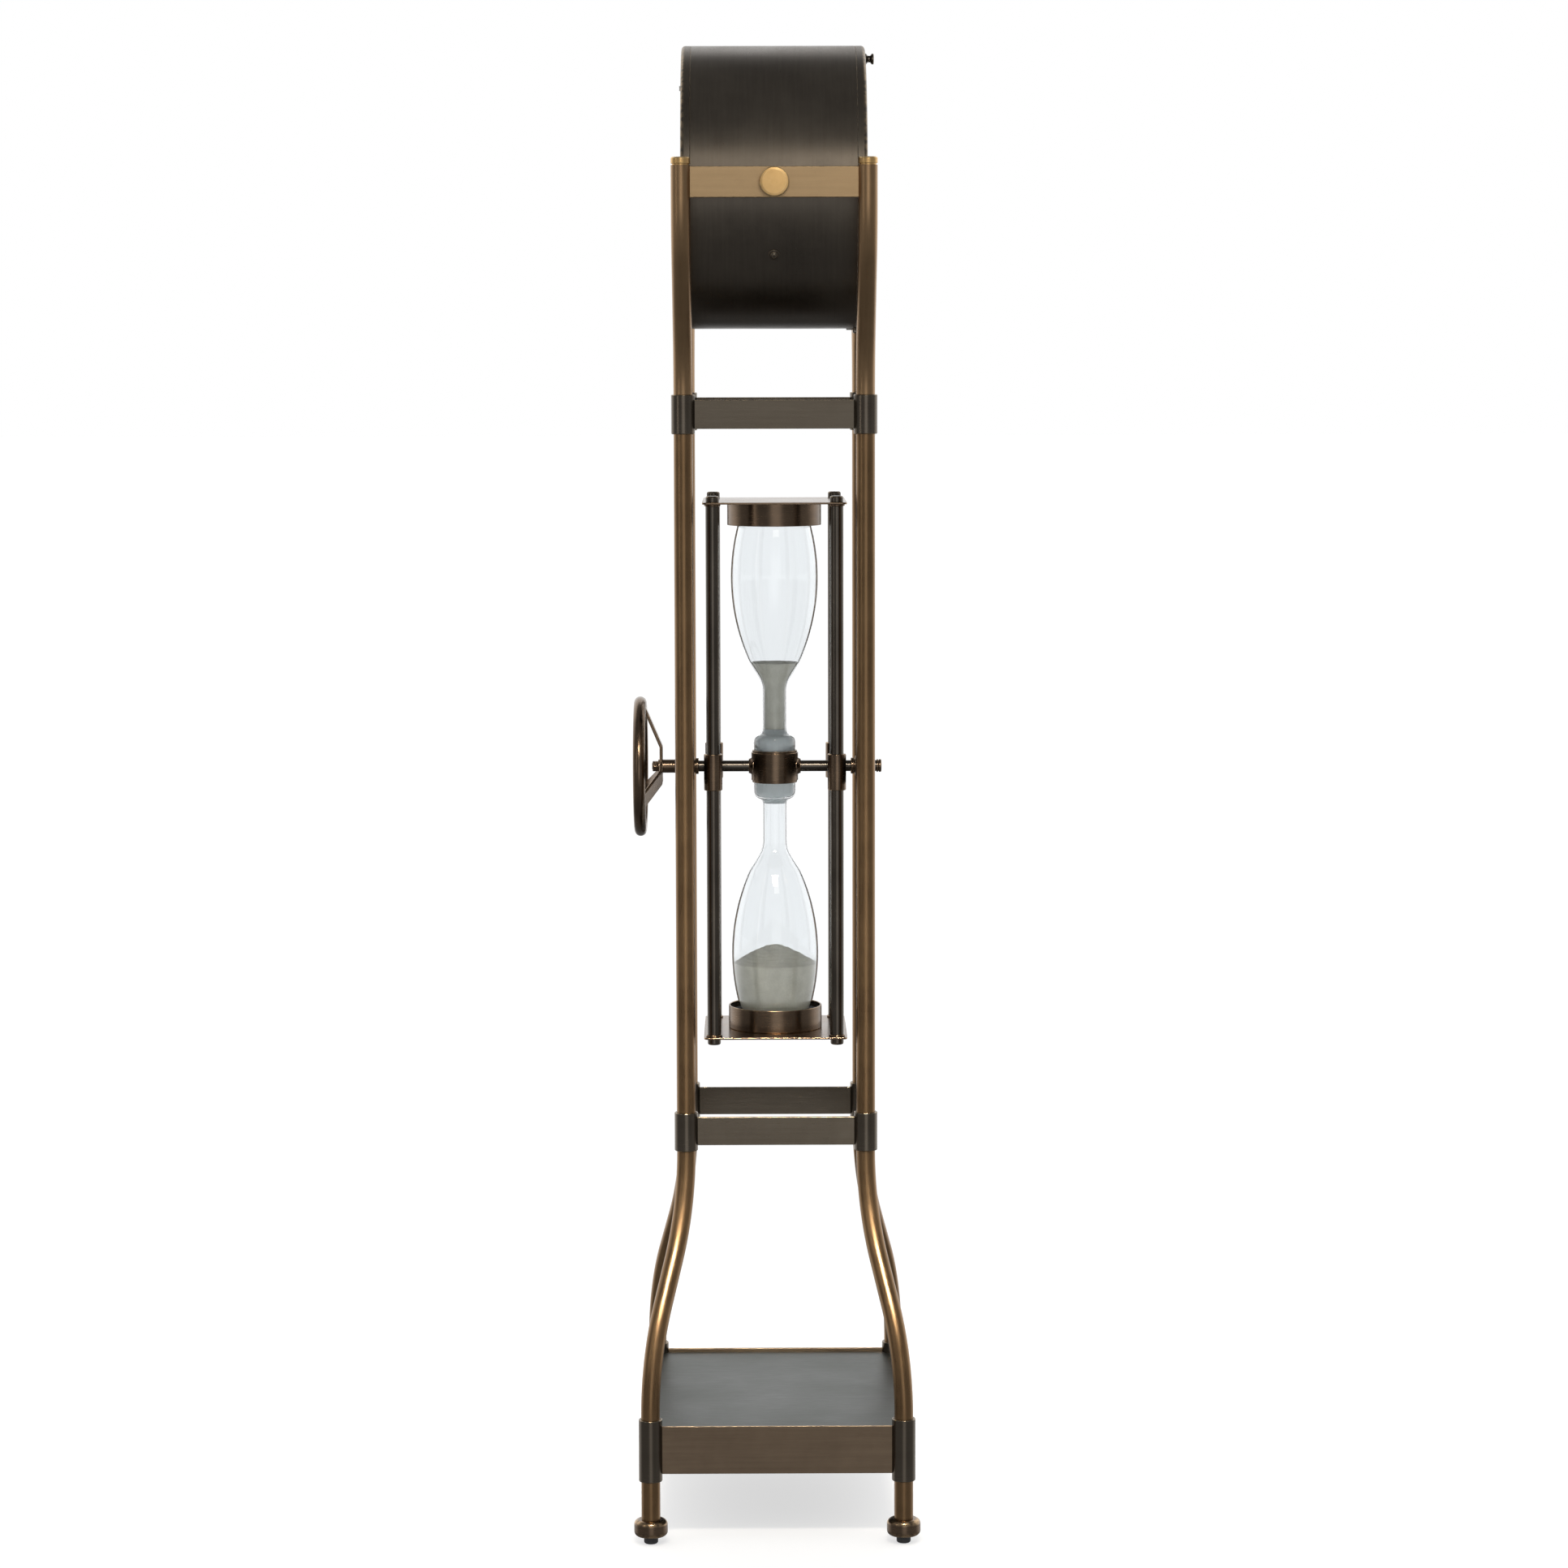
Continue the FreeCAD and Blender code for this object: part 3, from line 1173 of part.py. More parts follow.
def case_screws():
    """One domed screw low on each side of the drum, with the shell drilled for it."""
    screw = new_body("case_screw_master")
    base = S.drum_radius + S.seat_gap
    curve = dome_curve(S.case_screw_radius, S.case_screw_tall)
    revolve(screw, [
        (ZERO, base - S.case_screw_long),
        (S.case_screw_shank, base - S.case_screw_long),
        (S.case_screw_shank, base),
        (S.case_screw_radius, base),
        (S.case_screw_radius, base + S.case_screw_rim, curve, -1),
        (ZERO, base + S.case_screw_rim + S.case_screw_tall),
    ])
    lean = case_screw_lean()
    places = [(DRUM, ((1, 0, 0), 90 + lean)), (DRUM, ((1, 0, 0), -90 - lean))]
    copies("case_screws", screw, places)


# ---------------------------------------------------------------- hourglass
# The hourglass is drawn about the middle of its axle.

AXLE = (ZERO, ZERO, S.axle_height)


def bulb_outline(shrink):
    """The bulb's side from its foot to its closed end, drawn smaller by the given amount.

    Straight foot, rounded shoulder, straight neck, flare, short cone, one long curve and a
    rounded end.
    """
    shoulder = S.bulb_shoulder
    return [
        (S.bulb_foot_radius - shrink, S.bulb_foot_end, shoulder - shrink, -1),
        (S.bulb_foot_radius - shoulder, S.bulb_foot_end + shoulder - shrink),
        (S.neck_radius - shrink, S.neck_start),
        (S.neck_radius - shrink, S.neck_end, S.flare_curve + shrink, 1),
        (S.flare_radius - shrink, S.flare_end),
        (S.cone_radius - shrink, S.cone_end, S.belly_curve - shrink, -1),
        (S.belly_radius - shrink, S.belly_end, S.dome_curve, -1),
    ]


def bulbs():
    """Two blown bulbs, closed at the far end and standing foot to foot on the orifice disc."""
    wall = S.bulb_wall
    inner_foot = S.bulb_foot_radius - wall
    for name, turn in (("bulb_upper", None), ("bulb_lower", UPSIDE_DOWN)):
        body = new_body(name)
        revolve(body, [
            (ZERO, S.bulb_foot_start),
            (S.bulb_foot_radius, S.bulb_foot_start),
            *bulb_outline(ZERO),
            (S.dome_radius, S.dome_end),
            (ZERO, S.dome_end),
        ])
        hollow(body, [
            (ZERO, S.bulb_foot_start + wall),
            (inner_foot, S.bulb_foot_start + wall),
            *bulb_outline(wall),
            (S.dome_radius - wall, S.dome_end - wall),
            (ZERO, S.dome_end - wall),
        ])
        drill_one_way(body, "XY_Plane", lambda sketch: draw_circle(sketch, 0, 0, S.foot_hole),
                      S.bulb_foot_start + wall + BEYOND, flip=True)
        node(body, AXLE, turn)


def bulb_radius_at(height):
    """Radius of the long curve of the bulb's side at a height from the axle."""
    chord_r = S.belly_radius - S.cone_radius
    chord_z = S.belly_end - S.cone_end
    half = root(chord_r * chord_r + chord_z * chord_z) / 2
    deep = root(S.belly_curve * S.belly_curve - half * half)
    centre_r = (S.belly_radius + S.cone_radius) / 2 - deep * chord_z / (half * 2)
    centre_z = (S.belly_end + S.cone_end) / 2 + deep * chord_r / (half * 2)
    rise = height - centre_z
    return centre_r + root(S.belly_curve * S.belly_curve - rise * rise)


def sand():
    """Sand in both bulbs, and the ground stoppers that close their feet."""
    gap = S.bulb_wall + S.sand_gap
    upper = new_body("sand_upper")
    slope = (S.cone_radius - S.flare_radius) / (S.cone_end - S.flare_end)
    rim = S.cone_radius - slope * (S.cone_end - S.sand_top)
    revolve(upper, [
        (ZERO, S.neck_start + S.sand_gap),
        (S.neck_radius - gap, S.neck_start + S.sand_gap),
        (S.neck_radius - gap, S.neck_end, S.flare_curve + gap, 1),
        (S.flare_radius - gap, S.flare_end),
        (rim - gap, S.sand_top),
        (ZERO, S.sand_top - S.sand_dip),
    ])
    node(upper, AXLE)
    lower = new_body("sand_lower")
    bottom = S.dome_end - gap
    revolve(lower, [
        (ZERO, S.sand_peak),
        (bulb_radius_at(S.sand_edge) - gap, S.sand_edge, S.belly_curve - gap, -1),
        (S.belly_radius - gap, S.belly_end, S.dome_curve, -1),
        (S.dome_radius - gap, bottom),
        (ZERO, bottom),
    ])
    node(lower, AXLE, UPSIDE_DOWN)
    stopper = new_body("stopper_master")
    hole = S.stopper_hole
    foot = S.bulb_foot_radius - gap
    low = S.bulb_foot_start + S.bulb_wall + S.sand_gap
    revolve(stopper, [
        (hole, low),
        (foot, low),
        (foot, S.bulb_foot_end, S.bulb_shoulder - gap, -1),
        (S.bulb_foot_radius - S.bulb_shoulder, S.bulb_foot_end + S.bulb_shoulder - gap),
        (S.neck_radius - gap, S.neck_start),
        (hole, S.neck_start),
    ])
    copies("stoppers", stopper, [(AXLE, None), (AXLE, UPSIDE_DOWN)])


def hub():
    """Ring that clamps the two bulb feet and takes the inner ends of the axle."""
    ring = new_body("hub_ring")
    bore = S.bulb_foot_radius + S.face_gap
    step = S.hub_half - S.hub_step
    pad(ring, "YZ_Plane", lambda sketch: draw_circle(sketch, 0, 0, S.hub_socket_radius),
        S.hub_socket_end * 2, middle=True)
    revolve(ring, [
        (ZERO, -S.hub_half),
        (S.hub_lip, -S.hub_half),
        (S.hub_lip, -step),
        (S.hub_radius, -step),
        (S.hub_radius, step),
        (S.hub_lip, step),
        (S.hub_lip, S.hub_half),
        (ZERO, S.hub_half),
    ])
    drill(ring, "XY_Plane", lambda sketch: draw_circle(sketch, 0, 0, bore))
    drill(ring, "YZ_Plane", lambda sketch: draw_circle(sketch, 0, 0, S.axle_radius + S.fit_gap))
    node(ring, AXLE)
    disc = new_body("orifice_disc")

    def disc_plan(sketch):
        draw_circle(sketch, 0, 0, S.bulb_foot_radius)
        draw_circle(sketch, 0, 0, S.orifice_hole)

    pad(disc, "XY_Plane", disc_plan, S.orifice_thick, middle=True)
    node(disc, AXLE)


def end_frames():
    """Rods, end plates, cups, rubber seats, washers and cap nuts."""
    rod_corners = (S.rod_half, S.rod_half)
    shoulder = S.plate_inner - S.washer_thick - S.seat_gap * 2
    thread_end = S.plate_inner + S.plate_thick + S.thread_over
    rod = new_body("rod_master")
    revolve(rod, [
        (ZERO, -thread_end),
        (S.rod_end_radius, -thread_end),
        (S.rod_end_radius, -shoulder),
        (S.rod_radius, -shoulder),
        (S.rod_radius, shoulder),
        (S.rod_end_radius, shoulder),
        (S.rod_end_radius, thread_end),
        (ZERO, thread_end),
    ])
    copies("rods", rod, corner_places(*rod_corners, S.axle_height))
    listed(sleeves("rod_collars", *rod_corners, S.axle_height - S.rod_collar_tall / 2, S.rod_collar_tall,
                   S.rod_collar_radius, S.rod_radius + S.fit_gap))

    both_ends = []
    for turn in (None, UPSIDE_DOWN):
        both_ends += corner_places(*rod_corners, S.axle_height, turn)
    bore = S.rod_end_radius + S.fit_gap
    washer = new_body("rod_washer_master")
    revolve(washer, [
        (bore, shoulder + S.seat_gap),
        (S.washer_radius, shoulder + S.seat_gap),
        (S.washer_radius, S.plate_inner - S.seat_gap),
        (bore, S.plate_inner - S.seat_gap),
    ])
    copies("rod_washers", washer, both_ends)
    nut = new_body("rod_nut_master")
    nut_low = S.plate_inner + S.plate_thick + S.seat_gap
    nut_top = nut_low + S.rod_nut_tall
    revolve(nut, [
        (bore, nut_low),
        (S.rod_nut_radius, nut_low),
        (S.rod_nut_radius, nut_top - S.rod_nut_round, S.rod_nut_round, -1),
        (S.rod_nut_radius - S.rod_nut_round, nut_top),
        (ZERO, nut_top),
        (ZERO, thread_end + S.face_gap),
        (bore, thread_end + S.face_gap),
    ])
    copies("rod_nuts", nut, both_ends)

    plate = new_body("end_plate_master")
    sketch = new_sketch(plate, "XY_Plane")
    bind(sketch, ".AttachmentOffset.Base.z", S.plate_inner)
    draw_path(sketch, rounded_square(S.plate_half, S.plate_round))
    for i, j in CORNERS.values():
        draw_circle(sketch, S.rod_half * i, S.rod_half * j, S.rod_end_radius + S.hole_gap)
    sheet = plate.newObject("PartDesign::Pad", "end_plate_pad")
    sheet.Profile = sketch
    bind(sheet, "Length", S.plate_thick)
    ends = [(AXLE, None), (AXLE, UPSIDE_DOWN)]
    copies("end_plates", plate, ends)

    cup = new_body("cup_master")
    base = S.plate_inner - S.seat_gap
    revolve(cup, [
        (ZERO, base),
        (S.cup_radius, base),
        (S.cup_radius, base - S.cup_tall),
        (S.cup_radius - S.cup_wall, base - S.cup_tall),
        (S.cup_radius - S.cup_wall, base - S.cup_wall),
        (ZERO, base - S.cup_wall),
    ])
    copies("cups", cup, ends)

    seat = new_body("bulb_seat_master")
    floor = base - S.cup_wall - S.seat_gap
    hug = S.belly_radius + S.seat_side_gap
    end = S.dome_end + S.seat_end_gap
    revolve(seat, [
        (ZERO, floor),
        (S.cup_radius - S.cup_wall - S.face_gap, floor),
        (S.cup_radius - S.cup_wall - S.face_gap, floor - S.seat_tall),
        (hug, floor - S.seat_tall),
        (hug, end),
        (ZERO, end),
    ])
    copies("bulb_seats", seat, ends)


def rounded_square(half, corner):
    """A square with rounded corners, as a path."""
    flat = half - corner
    return [
        (-flat, -half), (flat, -half, corner, -1),
        (half, -flat), (half, flat, corner, -1),
        (flat, half), (-flat, half, corner, -1),
        (-half, flat), (-half, -flat, corner, -1),
    ]


def axle():
    """Two half axles, the bars that join them to the rods, and the front cap."""
    back = new_body("axle_back_half")
    inner = S.hub_radius - S.axle_seat
    step = S.wheel_hub_end - S.wheel_hub_seat
    back_end = S.wheel_hub_end + S.seat_gap + S.wheel_nut_thick + S.axle_end_over
    revolve(back, [
        (ZERO, inner),
        (S.axle_radius, inner),
        (S.axle_radius, step),
        (S.axle_end_radius, step),
        (S.axle_end_radius, back_end),
        (ZERO, back_end),
    ])
    rotate(back, *TO_BACK)
    front = new_body("axle_front_half")
    thread_end = S.axle_cap_start + S.axle_cap_thread
    revolve(front, [
        (ZERO, inner),
        (S.axle_radius, inner),
        (S.axle_radius, S.axle_cap_start),
        (S.axle_end_radius, S.axle_cap_start),
        (S.axle_end_radius, thread_end),
        (ZERO, thread_end),
    ])
    rotate(front, *TO_FRONT)
    for half in (back, front):
        move_to(half, AXLE)
    group("axle", [back, front])
    cap = new_body("axle_cap")
    bore = S.axle_end_radius + S.fit_gap
    start = S.axle_cap_start + S.seat_gap
    flange = S.axle_cap_start + S.axle_cap_flange
    groove = flange + S.axle_cap_taper
    head = groove + S.axle_cap_groove + S.axle_cap_taper
    end = S.axle_cap_start + S.axle_cap_thick
    waist = S.axle_cap_radius - S.axle_cap_waist
    revolve(cap, [
        (bore, start),
        (S.axle_cap_radius, start),
        (S.axle_cap_radius, flange),
        (waist, groove),
        (waist, groove + S.axle_cap_groove),
        (S.axle_cap_radius, head),
        (S.axle_cap_radius, end - S.axle_cap_round, S.axle_cap_round, -1),
        (S.axle_cap_radius - S.axle_cap_round, end),
        (ZERO, end),
        (ZERO, thread_end + S.face_gap),
        (bore, thread_end + S.face_gap),
    ])
    node(cap, AXLE, TO_FRONT)
    bar = new_body("cross_bar_master")
    outline = bar_outline(S.rod_half, S.cross_thick, S.rod_collar_radius + S.fit_gap, ZERO, False)
    pad(bar, "XY_Plane", lambda sketch: draw_path(sketch, outline), S.cross_tall, middle=True)
    drill(bar, "YZ_Plane", lambda sketch: draw_circle(sketch, 0, 0, S.axle_radius + S.fit_gap))
    copies("cross_bars", bar, [((S.rod_half * side, ZERO, S.axle_height), None) for side in (-1, 1)])


def handwheel():
    """Round rim, three-spoked spider with its hub, and the nut."""
    rim = DOC.addObject("Part::Torus", "handwheel_rim")
    rim.Label = "handwheel_rim"
    bind(rim, "Radius1", S.wheel_radius)
    bind(rim, "Radius2", S.wheel_rim)
    node(rim, (-S.wheel_middle, ZERO, S.axle_height), TO_BACK)

    spider = new_body("handwheel_spider")
    revolve(spider, [
        (ZERO, S.wheel_hub_start),
        (S.wheel_hub_radius, S.wheel_hub_start),
        (S.wheel_hub_radius, S.wheel_hub_end),
        (ZERO, S.wheel_hub_end),
    ])
    tip = (S.wheel_radius, S.wheel_middle - S.spoke_tip)
    spoke = pad(spider, "XZ_Plane", lambda sketch: draw_path(sketch, [
        (ZERO, S.spoke_plane),
        (S.spoke_bend, S.spoke_plane),
        tip,
        (tip[0], tip[1] + S.spoke_thick),
        (S.spoke_bend, S.spoke_plane + S.spoke_thick),
        (ZERO, S.spoke_plane + S.spoke_thick),
    ]), S.spoke_wide, middle=True)
    DOC.recompute()
    axis = [item for item in spider.Origin.OriginFeatures if item.Role == "Z_Axis"][0]
    star = spider.newObject("PartDesign::PolarPattern", "handwheel_spokes")
    star.Originals = [spoke]
    star.Axis = (axis, [""])
    star.Angle = 360.0
    star.Occurrences = 3
    spider.Tip = star
    groove_sketch = new_sketch(spider, "XZ_Plane")
    draw_circle(groove_sketch, S.wheel_radius, S.wheel_middle, S.wheel_rim + S.fit_gap)
    groove = spider.newObject("PartDesign::Groove", "handwheel_rim_seat")
    groove.Profile = groove_sketch
    groove.ReferenceAxis = (groove_sketch, ["V_Axis"])
    groove.Angle = 360.0
    drill(spider, "XY_Plane", lambda sketch: draw_circle(sketch, 0, 0, S.axle_end_radius + S.fit_gap))
    bore_sketch = new_sketch(spider, "XY_Plane")
    bind(bore_sketch, ".AttachmentOffset.Base.z", S.wheel_hub_start - BEYOND)
    draw_circle(bore_sketch, 0, 0, S.axle_radius + S.fit_gap)
    bore = spider.newObject("PartDesign::Pocket", "handwheel_bore")
    bore.Profile = bore_sketch
    bore.Reversed = True
    bind(bore, "Length", S.wheel_hub_long - S.wheel_hub_seat + S.face_gap + BEYOND)
    node(spider, AXLE, TO_BACK)

    nut = new_body("handwheel_nut")
    corner = S.wheel_nut_flats / math.sqrt(3)
    points = [(corner * math.cos(math.radians(60 * k)), corner * math.sin(math.radians(60 * k)))
              for k in range(6)]

    def nut_plan(sketch):
        draw_path(sketch, points)
        draw_circle(sketch, 0, 0, S.axle_end_radius + S.fit_gap)

    pad(nut, "XY_Plane", nut_plan, S.wheel_nut_thick)
    node(nut, (-S.wheel_hub_end - S.seat_gap, ZERO, S.axle_height), TO_BACK)


def export():
    """Checks every object and writes each node's solids to its own file."""
    DOC.recompute()
    faults = [item.Name for item in DOC.Objects if {"Invalid", "Error"} & set(item.State)]
    for name, piece in NODES.items():
        if piece.Shape.isNull() or not piece.Shape.isValid() or not piece.Shape.Solids:
            faults.append(name)
    if faults:
        raise RuntimeError("these did not build: " + ", ".join(sorted(set(faults))))
    os.makedirs("parts", exist_ok=True)
    for name, piece in NODES.items():
        piece.Shape.exportStep(f"parts/{name}.step")
        print(name, len(piece.Shape.Solids), round(piece.Shape.Volume))


legs()
yoke_tubes()
posts_and_collars()
bars()
shelf()
feet()
post_caps()
crossbars()
axle_bars()
drum_shell()
drum_back()
door()
dial_and_movement()
drum_pivots()
case_screws()
bulbs()
sand()
hub()
end_frames()
axle()
handwheel()
export()
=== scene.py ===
"""Looks of a floor-standing drum clock whose hourglass turns on a handwheel's axle.

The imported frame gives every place. Each sub-assembly is a class that builds its surfaces with
numpy and dresses them, each finish is a frozen dataclass, and everything is in metres.
"""

import logging
import math
from dataclasses import dataclass, field
from enum import Enum
from functools import lru_cache

import bpy
import numpy as np
from mathutils import Matrix, Vector


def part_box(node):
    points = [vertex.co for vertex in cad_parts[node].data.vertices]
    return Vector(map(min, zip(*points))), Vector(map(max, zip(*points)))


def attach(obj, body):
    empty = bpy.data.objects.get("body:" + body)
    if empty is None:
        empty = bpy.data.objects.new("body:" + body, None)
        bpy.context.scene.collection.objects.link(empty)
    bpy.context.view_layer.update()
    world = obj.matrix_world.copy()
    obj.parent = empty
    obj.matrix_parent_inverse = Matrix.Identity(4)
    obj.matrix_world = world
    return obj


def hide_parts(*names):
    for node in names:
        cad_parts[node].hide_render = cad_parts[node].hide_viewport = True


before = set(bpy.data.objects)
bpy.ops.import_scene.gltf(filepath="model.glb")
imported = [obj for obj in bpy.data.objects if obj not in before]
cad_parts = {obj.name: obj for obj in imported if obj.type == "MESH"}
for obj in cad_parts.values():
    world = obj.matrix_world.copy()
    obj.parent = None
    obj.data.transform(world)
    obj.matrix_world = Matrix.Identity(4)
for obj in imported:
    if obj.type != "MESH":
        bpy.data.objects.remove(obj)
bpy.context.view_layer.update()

logging.basicConfig(level=logging.INFO, format="%(message)s")
LOG = logging.getLogger("drum_clock")
Array = np.ndarray
TINY = 1e-9  # keeps a division away from zero
FIT = 0.00005  # gap between a bore and what goes through it
FACE_GAP = 0.0002  # gap between two faces that meet
AXLE = 0.0072  # radius of the hourglass's axle
AXLE_END = 0.0045  # radius of its two turned-down ends


# ------------------------------------------------------------------ places

class Facing(Enum):
    """Where the Z axis of a surface points once it is in place. Rows are the new X, Y and Z."""

    UP = ((1, 0, 0), (0, 1, 0), (0, 0, 1))
    DOWN = ((1, 0, 0), (0, -1, 0), (0, 0, -1))
    FRONT = ((0, 1, 0), (0, 0, 1), (1, 0, 0))
    BACK = ((0, -1, 0), (0, 0, 1), (-1, 0, 0))
    LEFT = ((1, 0, 0), (0, 0, 1), (0, -1, 0))
    RIGHT = ((-1, 0, 0), (0, 0, 1), (0, 1, 0))


@dataclass(frozen=True)
class Extent:
    """Box of a CAD node at rest."""

    low: Array
    high: Array

    @classmethod
    def of(cls, node: str) -> "Extent":
        """The box of one node of the frame."""
        low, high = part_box(node)
        return cls(np.array(low), np.array(high))

    @property
    def middle(self) -> Array:
        """The point half way between its corners."""
        return (self.low + self.high) / 2

    @property
    def size(self) -> Array:
        """Its length along each axis."""
        return self.high - self.low


SIDES = {"left": -1, "right": 1}
ENDS = {"front": 1, "back": -1}
CORNERS = [(i, j) for i in ENDS.values() for j in SIDES.values()]


# ------------------------------------------------------------------ outlines

def unit(vectors: Array) -> Array:
    """Vectors brought to length one, along the last axis."""
    return vectors / np.maximum(np.linalg.norm(vectors, axis=-1, keepdims=True), TINY)


def rounded(corners: list[tuple], steps: int = 7) -> tuple[Array, Array]:
    """Closed outline with its corners rounded off.

    From each corner the arc starts at its radius divided by the tangent of half the angle
    between the two sides. Its centre lies on their bisector, and its points are spread evenly
    in angle between the two touching points.

    Args:
        corners: (across, up) or (across, up, radius) for each corner, in order.
        steps: Points on each arc.

    Returns:
        The points, and how far each takes wear: 1 in the middle of an outer corner, 0 elsewhere.
    """
    data = np.array([(*corner, 0.0)[:3] for corner in corners], float)
    spot, radius = data[:, :2], data[:, 2]
    before = unit(np.roll(spot, 1, axis=0) - spot)
    after = unit(np.roll(spot, -1, axis=0) - spot)
    half = np.arccos(np.clip((before * after).sum(1), -0.999999, 0.999999)) / 2
    reach = (radius / np.tan(half))[:, None]
    centre = spot + unit(before + after) * (radius / np.sin(half))[:, None]
    first = (spot + before * reach - centre)[:, None]
    last = (spot + after * reach - centre)[:, None]
    turn = (math.pi - 2 * half)[:, None, None]
    share = np.linspace(0, 1, steps)[None, :, None]
    arc = (np.sin((1 - share) * turn) * first + np.sin(share * turn) * last) / np.sin(turn)
    points = (centre[:, None] + arc).reshape(-1, 2)
    cross = after[:, 0] * before[:, 1] - after[:, 1] * before[:, 0]
    outward = (cross * signed_area(spot) > 0) & (radius > 0)
    wear = (outward[:, None] * np.sin(np.pi * share[:, :, 0])).reshape(-1)
    fresh = np.linalg.norm(points - np.roll(points, 1, axis=0), axis=1) > 1e-8
    return points[fresh], wear[fresh]


def signed_area(points: Array) -> float:
    """Area inside a closed outline, positive when it runs anticlockwise."""
    following = np.roll(points, -1, axis=0)
    return float((points[:, 0] * following[:, 1] - points[:, 1] * following[:, 0]).sum() / 2)


def arc(start: tuple, end: tuple, radius: float, side: int, steps: int = 24) -> Array:
    """Points along the short arc between two points.

    Its centre lies on the chord's perpendicular, at the root of the radius squared less half
    the chord squared.

    Args:
        start: First point.
        end: Last point.
        radius: Radius of the arc.
        side: 1 bulges left of the direction of travel, -1 right.
        steps: Points on the arc.
    """
    start, end = np.array(start, float), np.array(end, float)
    chord = end - start
    left = unit(np.array([-chord[1], chord[0]])) * side
    deep = math.sqrt(max(radius ** 2 - (chord @ chord) / 4, 0.0))
    centre = (start + end) / 2 - left * deep
    first, last = start - centre, end - centre
    turn = math.acos(np.clip(first @ last / radius ** 2, -1, 1))
    share = np.linspace(0, 1, steps)[:, None]
    return centre + (np.sin((1 - share) * turn) * first + np.sin(share * turn) * last) / math.sin(turn)


def softened(line: Array, spread: float, spacing: float = 0.0008) -> Array:
    """An open line at even spacing with its kinks melted away.

    Each point becomes the average of its neighbours along the line, weighted by a bell curve.

    Args:
        line: The points, in order.
        spread: Width of the bell curve.
        spacing: Distance between the points that come back.
    """
    travel = np.concatenate([[0], np.cumsum(np.linalg.norm(np.diff(line, axis=0), axis=1))])
    even = np.linspace(0, travel[-1], int(travel[-1] / spacing) + 1)
    fine = np.stack([np.interp(even, travel, line[:, k]) for k in (0, 1)], axis=1)
    reach = int(3 * spread / spacing)
    bell = np.exp(-0.5 * (np.arange(-reach, reach + 1) * spacing / spread) ** 2)
    bell /= bell.sum()
    padded = np.concatenate([
        2 * fine[0] - fine[reach:0:-1],
        fine,
        2 * fine[-1] - fine[-2:-reach - 2:-1],
    ])
    return np.stack([np.convolve(padded[:, k], bell, mode="valid") for k in (0, 1)], axis=1)


def inset(line: Array, depth: float) -> Array:
    """An open line moved to its left by a depth, along its own normals."""
    along = unit(np.gradient(line, axis=0))
    return line + np.stack([-along[:, 1], along[:, 0]], axis=1) * depth


# ------------------------------------------------------------------ surfaces

@dataclass
class Skin:
    """A closed surface: points, faces of any size, and two patterns that finishes read.

    grain holds each point's coordinates in the piece's own straight frame, with Z along its
    axis, and wear is 1 where hands and cloths rub the finish off.
    """

    points: Array
    faces: list[Array]
    grain: Array
    wear: Array

    @classmethod
    def grid(cls, rows: Array, wear: Array, grain: Array | None = None,
             ring: bool = False, caps: bool = False) -> "Skin":
        """A skin from a grid of points whose columns run round.

        Args:
            rows: Points as (rows, columns, 3).
            wear: Wear as (rows, columns), or one value for each row.
            grain: Coordinates of the pattern, or None for the points themselves.
            ring: Joins the last row to the first.
            caps: Closes the first and last rows with a flat face.
        """
        count, round_ = rows.shape[:2]
        index = np.arange(count * round_).reshape(count, round_)
        upper = np.roll(index, -1, axis=0) if ring else index[1:]
        lower = index if ring else index[:-1]
        quads = np.stack([lower, np.roll(lower, -1, axis=1), np.roll(upper, -1, axis=1), upper], axis=-1)
        faces = [quads.reshape(-1, 4)]
        if caps:
            faces += [index[:1, ::-1], index[-1:]]
        worn = np.broadcast_to(wear if wear.ndim == 2 else wear[:, None], (count, round_))
        grain = rows if grain is None else grain
        skin = cls(rows.reshape(-1, 3), faces, grain.reshape(-1, 3).copy(), worn.reshape(-1).copy())
        return skin.welded().outward()

    def welded(self) -> "Skin":
        """Points at the same place become one, and faces lose the corners they had twice."""
        keys = np.round(self.points * 1e7).astype(np.int64)
        _, first, inverse = np.unique(keys, axis=0, return_index=True, return_inverse=True)
        inverse = inverse.reshape(-1)
        quads = inverse[self.faces[0]]
        twice = quads == np.roll(quads, -1, axis=1)
        lone = twice.sum(axis=1) == 1
        triangles = quads[lone][~twice[lone]].reshape(-1, 3)
        faces = [quads[~twice.any(axis=1)], triangles, *(inverse[face] for face in self.faces[1:])]
        return Skin(self.points[first], [f for f in faces if len(f)], self.grain[first], self.wear[first])

    def outward(self) -> "Skin":
        """Turns the faces round if the volume that they enclose comes out negative.

        The volume is a sixth of the triple product of each triangle's corners, added up.
        """
        volume = 0.0
        for face in self.faces:
            corner = self.points[face] - self.points[0]
            for k in range(1, face.shape[1] - 1):
                volume += (corner[:, 0] * np.cross(corner[:, k], corner[:, k + 1])).sum()
        faces = self.faces if volume > 0 else [face[:, ::-1] for face in self.faces]
        return Skin(self.points, faces, self.grain, self.wear)

    def placed(self, spot: Array | tuple = (0, 0, 0), facing: Facing = Facing.UP,
               turn: float = 0.0) -> "Skin":
        """The skin turned about its own Z axis, then faced and carried to a spot."""
        cosine, sine = math.cos(turn), math.sin(turn)
        spin = np.array([(cosine, sine, 0), (-sine, cosine, 0), (0, 0, 1)])
        axes = spin @ np.array(facing.value, float)
        return Skin(self.points @ axes + np.array(spot, float), self.faces, self.grain, self.wear)

    def shifted(self, *spots: tuple) -> "Skin":
        """Copies of the skin at several spots, as one skin."""
        return joined([self.placed(spot) for spot in spots])


